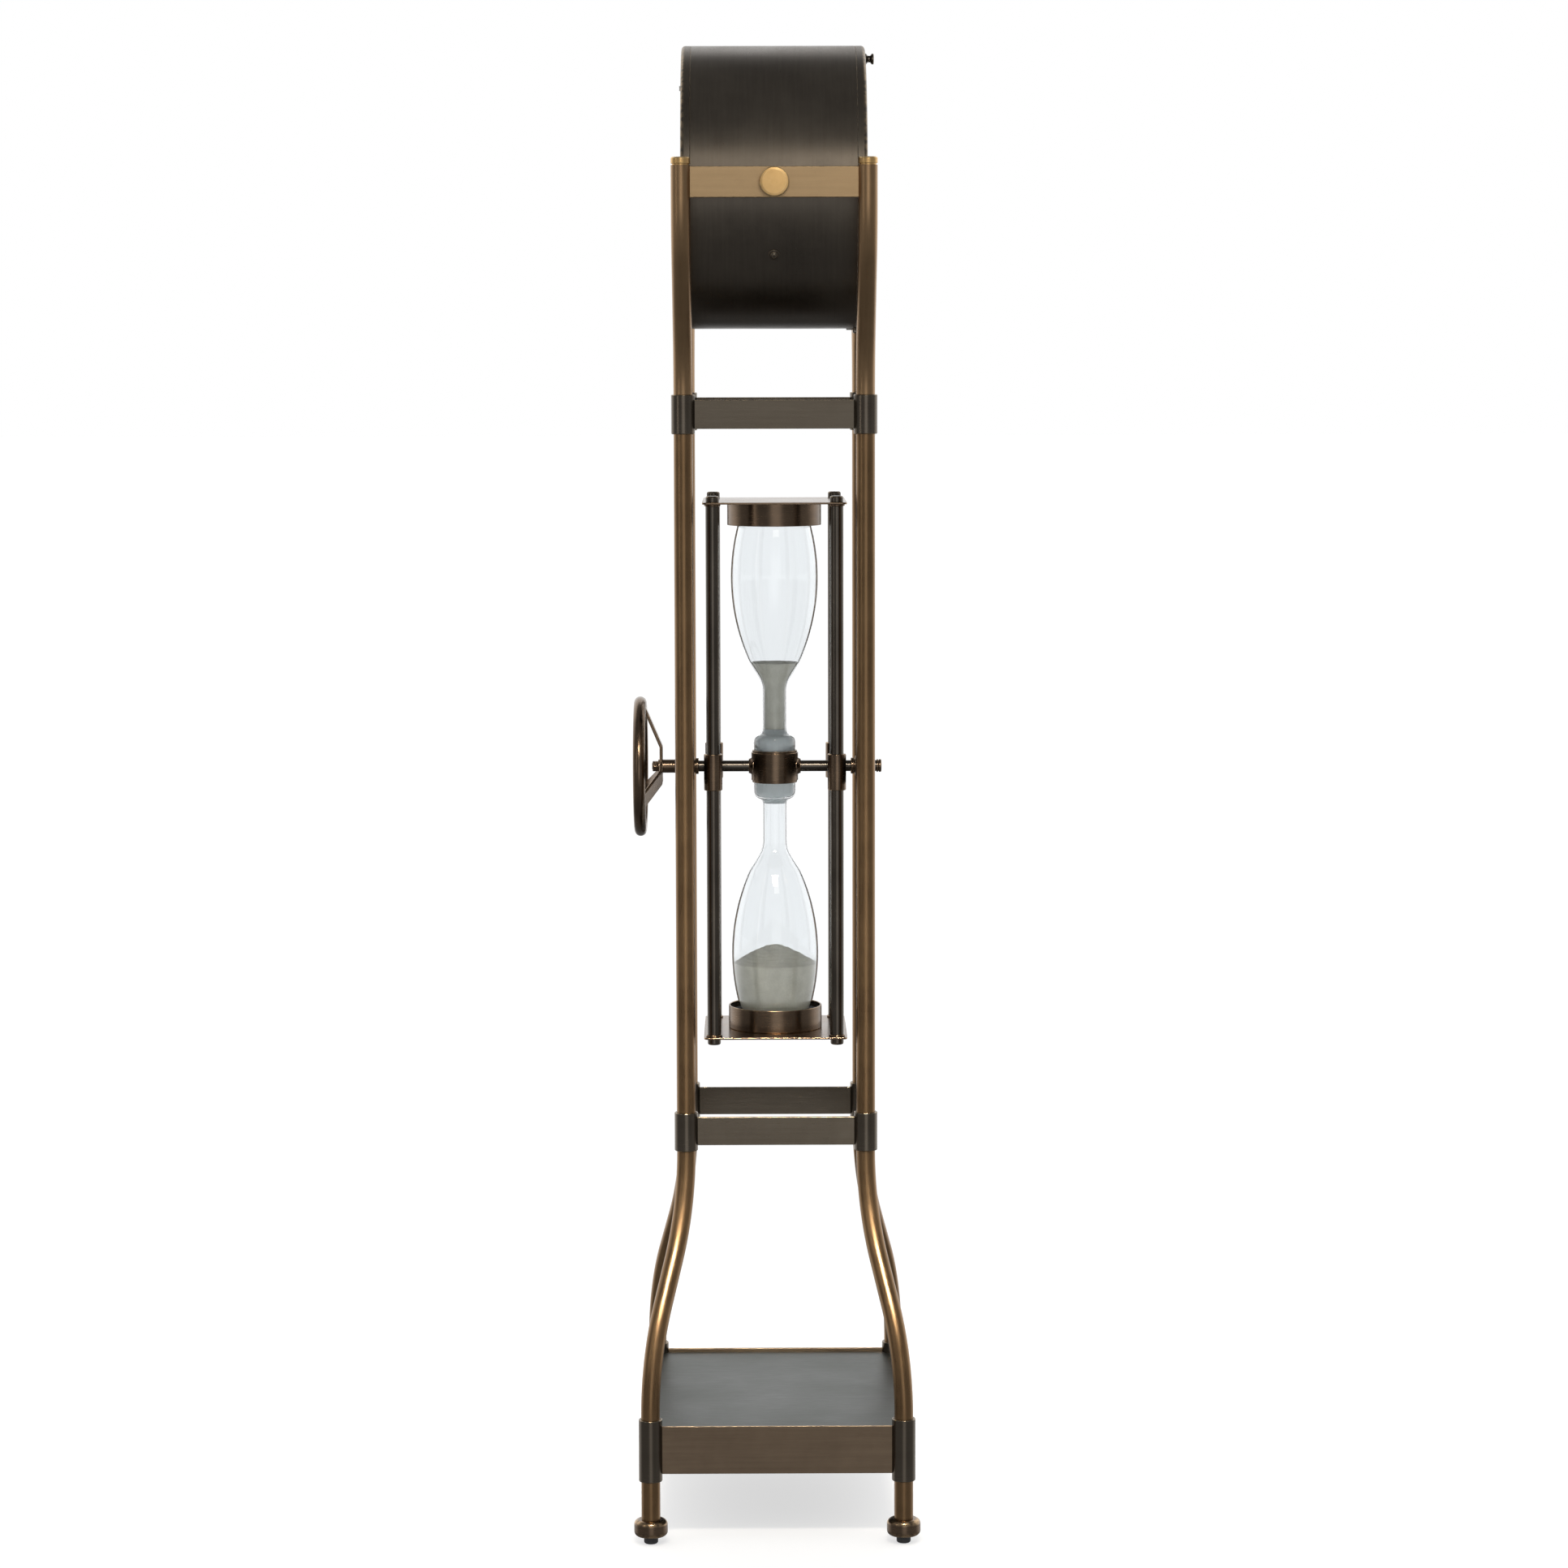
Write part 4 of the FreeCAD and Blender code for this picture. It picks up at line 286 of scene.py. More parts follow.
def joined(skins: list[Skin]) -> Skin:
    """Several skins as one."""
    starts = np.cumsum([0] + [len(skin.points) for skin in skins])
    faces = [face + start for skin, start in zip(skins, starts) for face in skin.faces]
    return Skin(
        np.concatenate([skin.points for skin in skins]),
        faces,
        np.concatenate([skin.grain for skin in skins]),
        np.concatenate([skin.wear for skin in skins]),
    )


def four(skin: Skin, half: Array, *levels: float) -> Skin:
    """The skin on the corners of a rectangle of half widths, at each level."""
    return skin.shifted(*((half[0] * i, half[1] * j, level) for i, j in CORNERS for level in levels))


def pair_of(skin: Skin, spot: Array | tuple, first: Facing, second: Facing) -> Skin:
    """The skin at a spot, faced two ways."""
    return joined([skin.placed(spot, first), skin.placed(spot, second)])


def turned(corners: list[tuple] | Array, around: int = 96, steps: int = 7) -> Skin:
    """Surface that a closed outline sweeps about the Z axis.

    A point (radius, height) goes to radius times the cosine and sine of the angle, and height.
    The angle is evenly spaced.

    Args:
        corners: Corners as rounded takes them, or an array of points that are kept as they are.
        around: Points round the axis.
        steps: Points on each rounded corner.
    """
    if isinstance(corners, np.ndarray):
        line, wear = corners, np.zeros(len(corners))
    else:
        line, wear = rounded(corners, steps)
    angle = np.arange(around) * 2 * math.pi / around
    radius, height = line[:, :1], line[:, 1:]
    rows = np.stack([radius * np.cos(angle), radius * np.sin(angle), height + 0 * angle], axis=-1)
    return Skin.grid(rows, wear, ring=True)


def prism(outline: Array, low: float, high: float, edge: float, wear: Array | None = None,
          steps: int = 5) -> Skin:
    """A flat-sided solid on an outline, with its two rims rounded over.

    At an angle t of the rim, the outline moves inwards by the edge times one less the sine of t,
    and stands the edge times one less the cosine of t from the end. A point moves along the
    bisector of its two sides' normals, divided by the cosine of half their angle.

    Args:
        outline: Closed outline, anticlockwise.
        low: Height of its lower end.
        high: Height of its upper end.
        edge: Radius of its rims.
        wear: Wear of the outline's own corners.
        steps: Points on each rim.
    """
    outline = outline if signed_area(outline) > 0 else outline[::-1]
    along = unit(np.roll(outline, -1, axis=0) - outline)
    normal = np.stack([along[:, 1], -along[:, 0]], axis=1)
    both = normal + np.roll(normal, 1, axis=0)
    mitre = 2 * both / np.maximum((both * both).sum(axis=1, keepdims=True), 0.2)
    angle = np.linspace(0, math.pi / 2, steps)
    depth = np.concatenate([1 - np.sin(angle), (1 - np.sin(angle))[::-1]]) * edge
    rise = (1 - np.cos(angle)) * edge
    height = np.concatenate([low + rise, (high - rise)[::-1]])
    flat = outline[None] - mitre[None] * depth[:, None, None]
    rows = np.concatenate([flat, np.broadcast_to(height[:, None, None], (*flat.shape[:2], 1))], axis=-1)
    rim = np.sin(2 * np.concatenate([angle, angle[::-1]]))
    corner = np.zeros(len(outline)) if wear is None or len(wear) != len(outline) else wear
    rubbed = np.maximum(rim[:, None], corner[None])
    rubbed[[0, -1]] = 0
    return Skin.grid(rows, rubbed, caps=True)


def swept(path: Array, radius: float, wall: float, around: int = 64) -> Skin:
    """A tube along a path in the XZ plane, with its inner wall and both ends.

    A point is the path's point plus the radius times the cosine of the angle along the path's
    normal and its sine along Y. The rows run out along the outer wall and back along the inner.
    Its grain is the same tube unbent, so that a pattern follows the bends.

    Args:
        path: Points (x, z) of the middle line.
        radius: Outer radius.
        wall: Thickness of the wall.
        around: Points round the tube.
    """
    travel = np.concatenate([[0], np.cumsum(np.linalg.norm(np.diff(path, axis=0), axis=1))])
    along = unit(np.gradient(path, travel, axis=0))
    path, travel, along = (np.concatenate([item, item[::-1]]) for item in (path, travel, along))
    size = np.repeat([radius, radius - wall], len(path) // 2)
    angle = np.arange(around) * 2 * math.pi / around
    out, side = size[:, None] * np.cos(angle), size[:, None] * np.sin(angle)
    rows = np.stack([
        path[:, :1] + along[:, 1:] * out,
        side,
        path[:, 1:] - along[:, :1] * out,
    ], axis=-1)
    grain = np.stack([out, side, np.broadcast_to(travel[:, None], out.shape)], axis=-1)
    return Skin.grid(rows, np.zeros(len(path)), grain, ring=True)


def bar_plan(half_span: float, thick: float, post: float) -> Array:
    """Plan of a flat bar along X whose ends are hollowed to hug two round posts.

    An end's point stands the post's radius times the cosine of an angle from the post's
    middle, and times its sine from the bar's middle line.
    """
    reach = math.asin(thick / 2 / post)
    angle = np.linspace(-reach, reach, 9)
    end = np.stack([half_span - post * np.cos(angle), post * np.sin(angle)], axis=1)
    return np.concatenate([end, -end])


# ------------------------------------------------------------------ materials

class Pattern(Enum):
    """Coordinates that a finish follows: the skin's own grain, or the piece's object space."""

    GRAIN = "grain"
    OBJECT = "object"


class Brush(Enum):
    """Direction of the fine lines in a metal, as stretch factors of its pattern."""

    ALONG = (1.0, 1.0, 0.03)
    ROUND = (0.05, 0.05, 1.0)
    LENGTH = (0.03, 1.0, 1.0)
    NONE = (1.0, 1.0, 1.0)


class Nodes:
    """A node tree under construction, with short names for the nodes that it takes."""

    def __init__(self, tree: bpy.types.NodeTree) -> None:
        """Works on one tree."""
        self.nodes, self.links = tree.nodes, tree.links

    def add(self, kind: str, settings: dict | None = None, **inputs: object) -> bpy.types.Node:
        """Adds a node, sets its properties and its inputs, and links inputs that are sockets."""
        node = self.nodes.new(kind)
        for name, value in (settings or {}).items():
            setattr(node, name, value)
        for name, value in inputs.items():
            self.feed(node.inputs[int(name[1:]) if name[0] == "_" else name.replace("_", " ")], value)
        return node

    def feed(self, socket: bpy.types.NodeSocket, value: object) -> None:
        """Links a socket to another, or sets its value."""
        if isinstance(value, bpy.types.NodeSocket):
            self.links.new(value, socket)
        else:
            socket.default_value = value

    def ramp(self, value: object, low: float, high: float, start: float = 0.0, end: float = 1.0,
             curve: str = "LINEAR") -> bpy.types.NodeSocket:
        """A value from low to high carried onto start to end, and held there."""
        return self.add("ShaderNodeMapRange", {"interpolation_type": curve}, Value=value, From_Min=low,
                        From_Max=high, To_Min=start, To_Max=end).outputs["Result"]

    def sum(self, operation: str, first: object, second: object = 0.5) -> bpy.types.NodeSocket:
        """Two numbers put together by a math operation."""
        return self.add("ShaderNodeMath", {"operation": operation}, _0=first, _1=second).outputs[0]


class Graph(Nodes):
    """A material under construction."""

    def __init__(self, name: str) -> None:
        """Starts a material with one Principled shader."""
        self.material = bpy.data.materials.new(name)
        self.material.use_nodes = True
        super().__init__(self.material.node_tree)
        self.shader = self.nodes["Principled BSDF"]

    def place(self, pattern: Pattern, stretch: tuple = (1, 1, 1)) -> bpy.types.NodeSocket:
        """Coordinates of the pattern, stretched."""
        if pattern is Pattern.GRAIN:
            source = self.add("ShaderNodeAttribute", {"attribute_name": "grain"}).outputs["Vector"]
        else:
            source = self.add("ShaderNodeTexCoord").outputs["Object"]
        return self.add("ShaderNodeMapping", Vector=source, Scale=stretch).outputs["Vector"]

    def noise(self, where: bpy.types.NodeSocket, scale: float, detail: float = 2.0,
              rough: float = 0.5) -> bpy.types.NodeSocket:
        """Cloudy noise from 0 to 1."""
        return self.add("ShaderNodeTexNoise", Vector=where, Scale=scale, Detail=detail,
                        Roughness=rough).outputs["Fac"]

    def blend(self, share: object, first: object, second: object) -> bpy.types.NodeSocket:
        """Two colours mixed by a share."""
        node = self.add("ShaderNodeMix", {"data_type": "RGBA"})
        for index, value in ((0, share), (6, first), (7, second)):
            self.feed(node.inputs[index], value)
        return node.outputs[2]

    def bump(self, height: bpy.types.NodeSocket, strength: float, depth: float) -> None:
        """Relief of the surface, as deep as the distance given."""
        node = self.add("ShaderNodeBump", Height=height, Strength=strength, Distance=depth)
        self.links.new(node.outputs["Normal"], self.shader.inputs["Normal"])

    def wear(self) -> bpy.types.NodeSocket:
        """Wear along outer edges, from the skin's own attribute."""
        return self.add("ShaderNodeAttribute", {"attribute_name": "wear"}).outputs["Fac"]

    def set(self, **inputs: object) -> None:
        """Sets or links the shader's inputs."""
        for name, value in inputs.items():
            self.feed(self.shader.inputs[name.replace("_", " ")], value)


Colour = tuple[float, float, float]


def paint(colour: Colour) -> tuple[float, float, float, float]:
    """A colour with full cover."""
    return (*colour, 1.0)


@dataclass(frozen=True)
class BrushedMetal:
    """Patinated metal: clouds of patina, brush lines, and bright worn edges.

    Attributes:
        name: Name of the material.
        slot: Name of a material slot of the record.
        dark: Colour where the patina is thick.
        light: Colour where it is thin.
        worn: Colour of the bare edges.
        rough: Roughness in the middle of its range.
        swing: How far brush lines move the roughness.
        lines: Frequency of the brush lines, per metre.
        clouds: Frequency of the patina, per metre.
        relief: Depth of the brush lines.
        streak: How far brush lines move the colour.
    """

    name: str
    slot: str | None
    dark: Colour
    light: Colour
    worn: Colour
    rough: float = 0.32
    swing: float = 0.12
    lines: float = 1800.0
    clouds: float = 9.0
    relief: float = 0.000015
    streak: float = 0.35

    def build(self, pattern: Pattern, brush: Brush) -> bpy.types.Material:
        """Makes the material for one pattern and one brush direction."""
        graph = Graph(f"{self.name}_{pattern.value}_{brush.name.lower()}")
        where = graph.place(pattern)
        fine = graph.place(pattern, brush.value)
        cloud = graph.noise(where, self.clouds, 4.0, 0.6)
        line = graph.noise(fine, self.lines, 3.0, 0.65)
        broad = graph.noise(fine, self.lines / 9, 2.0, 0.5)
        tone, half = graph.ramp(cloud, 0.32, 0.68), self.streak / 2
        for streaks in (line, broad):
            tone = graph.sum("ADD", tone, graph.ramp(streaks, 0.3, 0.7, -half, half))
        colour = graph.blend(graph.ramp(tone, -0.2, 1.2), paint(self.dark), paint(self.light))
        if pattern is Pattern.GRAIN:
            rubbed = graph.sum("MULTIPLY", graph.wear(), graph.ramp(graph.noise(where, 160.0), 0.35, 0.6))
            colour = graph.blend(rubbed, colour, paint(self.worn))
        rough = graph.ramp(graph.sum("ADD", line, cloud), 0.6, 1.4, self.rough - self.swing,
                           self.rough + self.swing)
        graph.bump(graph.sum("ADD", line, graph.sum("MULTIPLY", broad, 0.6)), 0.5, self.relief)
        graph.set(Base_Color=colour, Metallic=1.0, Roughness=rough)
        return graph.material


@dataclass(frozen=True)
class BlownGlass:
    """Clear blown glass with a faint tint and slow waves."""

    name: str
    slot: str | None
    tint: Colour
    ior: float = 1.45

    def build(self, pattern: Pattern, brush: Brush) -> bpy.types.Material:
        """Makes the glass."""
        graph = Graph(self.name)
        graph.bump(graph.noise(graph.place(pattern), 28.0, 1.0), 0.12, 0.0006)
        graph.set(Base_Color=paint(self.tint), Roughness=0.0, IOR=self.ior, Transmission_Weight=1.0)
        return graph.material


@dataclass(frozen=True)
class GroundGlass:
    """Frosted glass, lit through."""

    name: str
    slot: str | None
    pale: Colour
    deep: Colour

    def build(self, pattern: Pattern, brush: Brush) -> bpy.types.Material:
        """Makes the frosted glass."""
        graph = Graph(self.name)
        where = graph.place(pattern)
        cloud = graph.noise(where, 45.0, 3.0)
        frost = graph.noise(where, 2600.0, 2.0)
        graph.bump(frost, 0.35, 0.00006)
        graph.set(Base_Color=graph.blend(cloud, paint(self.deep), paint(self.pale)),
                  Roughness=graph.ramp(frost, 0.3, 0.7, 0.45, 0.7), Transmission_Weight=0.35, IOR=1.45)
        return graph.material


@dataclass(frozen=True)
class FineSand:
    """Packed fine grains of several tones."""

    name: str
    slot: str | None
    pale: Colour
    dark: Colour

    def build(self, pattern: Pattern, brush: Brush) -> bpy.types.Material:
        """Makes the sand."""
        graph = Graph(self.name)
        where = graph.place(pattern)
        grain = graph.add("ShaderNodeTexVoronoi", Vector=where, Scale=2600.0)
        tint = graph.add("ShaderNodeSeparateColor", Color=grain.outputs["Color"]).outputs[0]
        tone = graph.sum("MULTIPLY", tint, 0.65)
        tone = graph.sum("ADD", tone, graph.ramp(graph.noise(where, 60.0, 3.0), 0.3, 0.7, 0.0, 0.35))
        graph.bump(grain.outputs["Distance"], 0.6, 0.0003)
        graph.set(Base_Color=graph.blend(tone, paint(self.dark), paint(self.pale)), Roughness=0.9)
        return graph.material


@dataclass(frozen=True)
class Coating:
    """Paint, enamel, rubber or moulded plastic: a speckled colour with fine relief."""

    name: str
    slot: str | None
    base: Colour
    other: Colour
    rough: float
    scale: float = 400.0
    relief: float = 0.00008
    coat: float = 0.0

    def build(self, pattern: Pattern, brush: Brush) -> bpy.types.Material:
        """Makes the coating."""
        graph = Graph(f"{self.name}_{pattern.value}")
        where = graph.place(pattern)
        speck = graph.noise(where, self.scale, 4.0, 0.7)
        cloud = graph.noise(where, self.scale / 40, 2.0)
        tone = graph.sum("MULTIPLY", graph.sum("ADD", speck, cloud), 0.5)
        graph.bump(speck, 0.4, self.relief)
        graph.set(Base_Color=graph.blend(graph.ramp(tone, 0.3, 0.7), paint(self.base), paint(self.other)),
                  Roughness=graph.ramp(speck, 0.3, 0.7, self.rough - 0.06, self.rough + 0.06),
                  Coat_Weight=self.coat)
        return graph.material


ANTIQUE_BRASS = BrushedMetal("antique_brass", "tube_brass", (0.200, 0.122, 0.062), (0.330, 0.205, 0.105),
                             (0.66, 0.44, 0.22), rough=0.33)
# A brighter copy of the antique tube brass, for the yoke tubes: painted light where they catch the lamps.
PAINTED_LIGHT_YOKE_BRASS = BrushedMetal("yoke_brass", "tube_brass", (0.320, 0.205, 0.112), (0.440, 0.285, 0.158),
                          (0.80, 0.56, 0.30), rough=0.36)
BRIGHT_BRASS = BrushedMetal("bright_brass", "bright_brass", (0.370, 0.255, 0.140), (0.520, 0.360, 0.200),
                            (0.80, 0.58, 0.32), rough=0.38)
# A brightened copy of the tube and crossbar brass, for the tube caps and clamp knobs: painted highlight.
PAINTED_HIGHLIGHT_BRASS = BrushedMetal("gold_brass", "bright_brass", (0.640, 0.400, 0.160), (0.820, 0.540, 0.240),
                          (0.95, 0.72, 0.40), rough=0.36, clouds=60.0, streak=0.2)
DARK_BRONZE = BrushedMetal("dark_bronze", "collar_bronze", (0.110, 0.090, 0.068), (0.165, 0.142, 0.112),
                           (0.42, 0.32, 0.20), rough=0.33)
COLLAR_BRONZE = BrushedMetal("collar_bronze", "collar_bronze", (0.115, 0.095, 0.074), (0.165, 0.140, 0.112),
                             (0.44, 0.34, 0.22), rough=0.24, swing=0.06)
DRUM_BRONZE = BrushedMetal("drum_bronze", "drum_bronze", (0.118, 0.101, 0.083), (0.168, 0.145, 0.118),
                           (0.36, 0.28, 0.19), rough=0.36, lines=2600.0)
APRON_BRONZE = BrushedMetal("apron_bronze", "apron_bronze", (0.150, 0.108, 0.074), (0.250, 0.185, 0.128),
                            (0.52, 0.38, 0.24), rough=0.38)
PEWTER = BrushedMetal("pewter", "pewter", (0.060, 0.066, 0.062), (0.110, 0.120, 0.112), (0.40, 0.36, 0.28),
                      rough=0.45, streak=0.2)
GUNMETAL = BrushedMetal("gunmetal", "rod_gunmetal", (0.085, 0.074, 0.062), (0.150, 0.130, 0.108),
                        (0.36, 0.27, 0.18), rough=0.24, swing=0.06)
COPPER_BRONZE = BrushedMetal("copper_bronze", "copper_bronze", (0.118, 0.086, 0.062), (0.222, 0.154, 0.102),
                             (0.60, 0.42, 0.25), rough=0.24, swing=0.07, clouds=22.0)
STEEL = BrushedMetal("steel", "steel_screw", (0.30, 0.28, 0.26), (0.50, 0.47, 0.43), (0.75, 0.72, 0.68),
                     rough=0.3)
CLEAR_GLASS = BlownGlass("clear_glass", "clear_glass", (0.915, 0.935, 0.947))
FROSTED_GLASS = GroundGlass("frosted_glass", "frosted_glass", (0.94, 0.98, 0.98), (0.80, 0.88, 0.89))
SAND = FineSand("sand", "sand", (0.90, 0.885, 0.78), (0.54, 0.53, 0.44))
RUBBER = Coating("black_rubber", "rubber_black", (0.012, 0.012, 0.013), (0.03, 0.03, 0.032), 0.7)
ENAMEL = Coating("dial_enamel", "dial_cream", (0.72, 0.66, 0.50), (0.80, 0.75, 0.61), 0.35, scale=90.0,
                 relief=0.00002, coat=0.3)
# Black print on the dial and the hands, and the painted shade of the cover screws' slots.
INK_AND_SLOT_SHADE = Coating("dial_ink", None, (0.015, 0.013, 0.012), (0.03, 0.027, 0.025), 0.45, relief=0.00001)
PLASTIC = Coating("movement_plastic", None, (0.018, 0.018, 0.02), (0.03, 0.03, 0.033), 0.5, scale=900.0)
SLEEVE = Coating("battery_sleeve", None, (0.02, 0.05, 0.12), (0.03, 0.07, 0.16), 0.3, coat=0.4)


@lru_cache(maxsize=None)
def material(finish: object, pattern: Pattern, brush: Brush) -> bpy.types.Material:
    """A finish's material, made once for each pattern and brush direction."""
    return finish.build(pattern, brush)


# ------------------------------------------------------------------ pieces

def show(name: str, skin: Skin, finish: object, body: str, node: str | None = None,
         brush: Brush = Brush.NONE, slot: str | None = None, crease: float = 40.0) -> None:
    """Makes one piece of the object from a skin.

    Args:
        name: Name of the piece.
        skin: Its surface, in place.
        finish: Its finish.
        body: CAD body that it rides on.
        node: CAD node that it stands for.
        brush: Direction of the finish's lines in the skin's own frame.
        slot: Material slot of the record, or None for the finish's own; not used.
        crease: Faces that meet at more than this angle, in degrees, keep a sharp edge.
    """
    mesh = bpy.data.meshes.new(name)
    mesh.from_pydata(skin.points.tolist(), [], [row for face in skin.faces for row in face.tolist()])
    mesh.attributes.new("grain", "FLOAT_VECTOR", "POINT").data.foreach_set("vector", skin.grain.ravel())
    mesh.attributes.new("wear", "FLOAT", "POINT").data.foreach_set("value", skin.wear)
    mesh.shade_smooth()
    mesh.set_sharp_from_angle(angle=math.radians(crease))
    mesh.materials.append(material(finish, Pattern.GRAIN, brush))
    piece = bpy.data.objects.new(name, mesh)
    bpy.context.scene.collection.objects.link(piece)
    weighted = piece.modifiers.new("even_normals", "WEIGHTED_NORMAL")
    weighted.keep_sharp = True
    weighted.weight = 80
    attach(piece, body)
    if node:
        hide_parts(node)
    slot = slot or finish.slot
    LOG.info("%-22s %7d points on %s", name, len(skin.points), body)


def dress(node: str, finish: object, brush: Brush = Brush.NONE) -> None:
    """Gives a CAD node a finish on its object coordinates."""
    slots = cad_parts[node].data.materials
    slots.clear()
    slots.append(material(finish, Pattern.OBJECT, brush))
    LOG.info("%-22s dressed", node)


# ------------------------------------------------------------------ stand

@dataclass
class Stand:
    """Four tubes with their collars, bars, shelf, feet and caps, and the bars that carry things."""

    tube: float = 0.012
    wall: float = 0.0015
    collar: float = 0.015
    edge: float = 0.0012
    leg_lean: float = 0.06248
    yoke_lean: float = 0.10479
    leg_straight: float = 0.004
    yoke_straight: float = 0.001
    bar_thick: float = 0.005
    apron_thick: float = 0.004
    crossbar_thick: float = 0.006
    axle_bar_thick: float = 0.010
    axle_boss: tuple[float, float] = (0.013, 0.022)
    bush: float = 0.0087
    bush_face: float = 0.0985
    bush_flange: float = 0.0042
    glide_screw: float = 0.0049
    disc_round: float = 0.0065
    cap_groove: float = 0.0016
    post: Extent = field(default_factory=lambda: Extent.of("middle_posts"))
    foot: Extent = field(default_factory=lambda: Extent.of("foot_discs"))

    def __post_init__(self) -> None:
        """Works out where the posts and the feet stand."""
        self.foot_spot = np.abs(Extent.of("glide_front_left").middle[:2])
        self.post_spot = self.post.high[:2] - self.tube

    def build(self) -> None:
        """Builds and dresses every piece of the stand."""
        self.tubes()
        self.collars()
        self.bars()
        self.shelf()
        self.feet()
        self.caps()
        self.axle_bars()

    def bend(self, before: float, climb: float, offset: float, after: float, lean: float) -> Skin:
        """A tube that rises, leans over by an offset and rises again.

        The tangent of half the bends' angle is the offset over the climb and the leaning
        stretch together. Their radius is the climb less the stretch times the angle's cosine,
        over twice its sine.
        """
        angle = 2 * math.atan(offset / (climb + lean))
        radius = (climb - lean * math.cos(angle)) / (2 * math.sin(angle))
        side, rise = radius * (1 - math.cos(angle)), radius * math.sin(angle)
        high = before + climb
        line = np.concatenate([
            np.array([(0, 0), (0, before)]),
            arc((0, before), (side, before + rise), radius, 1, 40),
            arc((offset - side, high - rise), (offset, high), radius, -1, 40),
            np.array([(offset, high), (offset, high + after)]),
        ])
        fresh = np.linalg.norm(np.diff(line, axis=0, prepend=line[:1] - 1), axis=1) > 1e-7
        return swept(line[fresh], self.tube, self.wall)

    def tubes(self) -> None:
        """Legs, middle posts and yoke tubes."""
        step = self.foot_spot - self.post_spot
        collar = Extent.of("base_collars")
        legs = Extent.of("legs_left")
        collar_half = self.post.low[2] - Extent.of("post_collars").low[2]
        bend_low = collar.high[2] + self.leg_straight
        bend_high = self.post.low[2] - collar_half
        leg = self.bend(bend_low - legs.low[2], bend_high - bend_low, np.hypot(*step), collar_half,
                        self.leg_lean)
        yoke = Extent.of("yoke_tubes_left")
        crossbar = Extent.of("crossbars")
        spread = -yoke.low[1] - self.tube - self.post_spot[1]
        yoke_high = crossbar.low[2] - self.yoke_straight
        arm = self.bend(collar_half, yoke_high - yoke.low[2] - collar_half, spread,
                        yoke.high[2] - yoke_high, self.yoke_lean)
        for side, j in SIDES.items():
            show(f"{side}_legs", joined([
                leg.placed((self.foot_spot[0] * i, self.foot_spot[1] * j, legs.low[2]),
                           turn=math.atan2(-step[1] * j, -step[0] * i))
                for i in ENDS.values()
            ]), ANTIQUE_BRASS, "stand", f"legs_{side}", Brush.ALONG)
            # The yoke tubes take the brighter copy of the tube brass: painted light.
            show(f"{side}_yoke_tubes", joined([
                arm.placed((self.post_spot[0] * i, self.post_spot[1] * j, yoke.low[2]),
                           turn=math.pi / 2 * j)
                for i in ENDS.values()
            ]), PAINTED_LIGHT_YOKE_BRASS, "stand", f"yoke_tubes_{side}", Brush.ALONG)
        bore, tall = self.tube - self.wall, self.post.size[2]
        straight = turned([(bore, 0), (self.tube, 0), (self.tube, tall), (bore, tall)], 64)
        show("posts", four(straight, self.post_spot, self.post.low[2]),
             ANTIQUE_BRASS, "stand", "middle_posts", Brush.ALONG)

    def sleeve(self, tall: float) -> Skin:
        """A collar with rounded rims."""
        bore = self.tube + FIT
        return turned([(bore, 0, 0.0004), (self.collar, 0, self.edge), (self.collar, tall, self.edge),
                       (bore, tall, 0.0004)], 72)

    def collars(self) -> None:
        """Collars at the bars and at the base."""
        posts = Extent.of("post_collars")
        tall = (self.post.low[2] - posts.low[2]) * 2
        sleeve = self.sleeve(tall)
        show("frame_collars", four(sleeve, self.post_spot, posts.low[2], posts.high[2] - tall),
             COLLAR_BRONZE, "stand", "post_collars", Brush.ROUND)
        base = Extent.of("base_collars")
        show("foot_collars", four(self.sleeve(base.size[2]), self.foot_spot, base.low[2]),
             COLLAR_BRONZE, "stand", "base_collars", Brush.ROUND)

    def bar_set(self, spot: Array, low: float, tall: float, thick: float) -> Skin:
        """Four flat bars between four posts."""
        bars = []
        for axis in (0, 1):
            bar = prism(bar_plan(spot[axis], thick, self.collar + FIT), 0, tall, thick * 0.16)
            for side in (-1, 1):
                place = (0, spot[1] * side, low) if axis == 0 else (spot[0] * side, 0, low)
                bars.append(bar.placed(place, turn=math.pi / 2 * axis))
        return joined(bars)

    def bars(self) -> None:
        """Bars of the middle frame, aprons of the base and crossbars of the drum."""
        bars = Extent.of("frame_bars")
        tall = (self.post.low[2] - bars.low[2]) * 2
        frames = [self.bar_set(self.post_spot, low, tall, self.bar_thick)
                  for low in (bars.low[2], bars.high[2] - tall)]
        show("flat_bars", joined(frames), DARK_BRONZE, "stand", "frame_bars", Brush.LENGTH)
        apron = Extent.of("base_aprons")
        show("aprons", self.bar_set(self.foot_spot, apron.low[2], apron.size[2], self.apron_thick),
             APRON_BRONZE, "stand", "base_aprons", Brush.LENGTH)
        cross = Extent.of("crossbars")
        bar = prism(bar_plan(self.post_spot[0], self.crossbar_thick, self.tube + FIT), cross.low[2],
                    cross.high[2], 0.001)
        reach = cross.high[1] - self.crossbar_thick / 2
        show("drum_crossbars", bar.shifted((0, -reach, 0), (0, reach, 0)),
             BRIGHT_BRASS, "stand", "crossbars", Brush.LENGTH)

    def shelf(self) -> None:
        """Sheet with a round notch at each corner for the collar that passes it."""
        sheet = Extent.of("shelf")
        half = sheet.high[:2]
        notch = self.collar + FACE_GAP
        gap = self.foot_spot - half
        first = math.asin(gap[1] / notch)
        last = math.acos(gap[0] / notch)
        angle = np.linspace(last, first, 12)
        cut = self.foot_spot - notch * np.stack([np.cos(angle), np.sin(angle)], axis=1)
        corners = [cut, (cut * (-1, 1))[::-1], -cut, (cut * (1, -1))[::-1]]
        show("shelf_sheet", prism(np.concatenate(corners), sheet.low[2], sheet.high[2], 0.0005),
             PEWTER, "stand", "shelf", Brush.LENGTH)

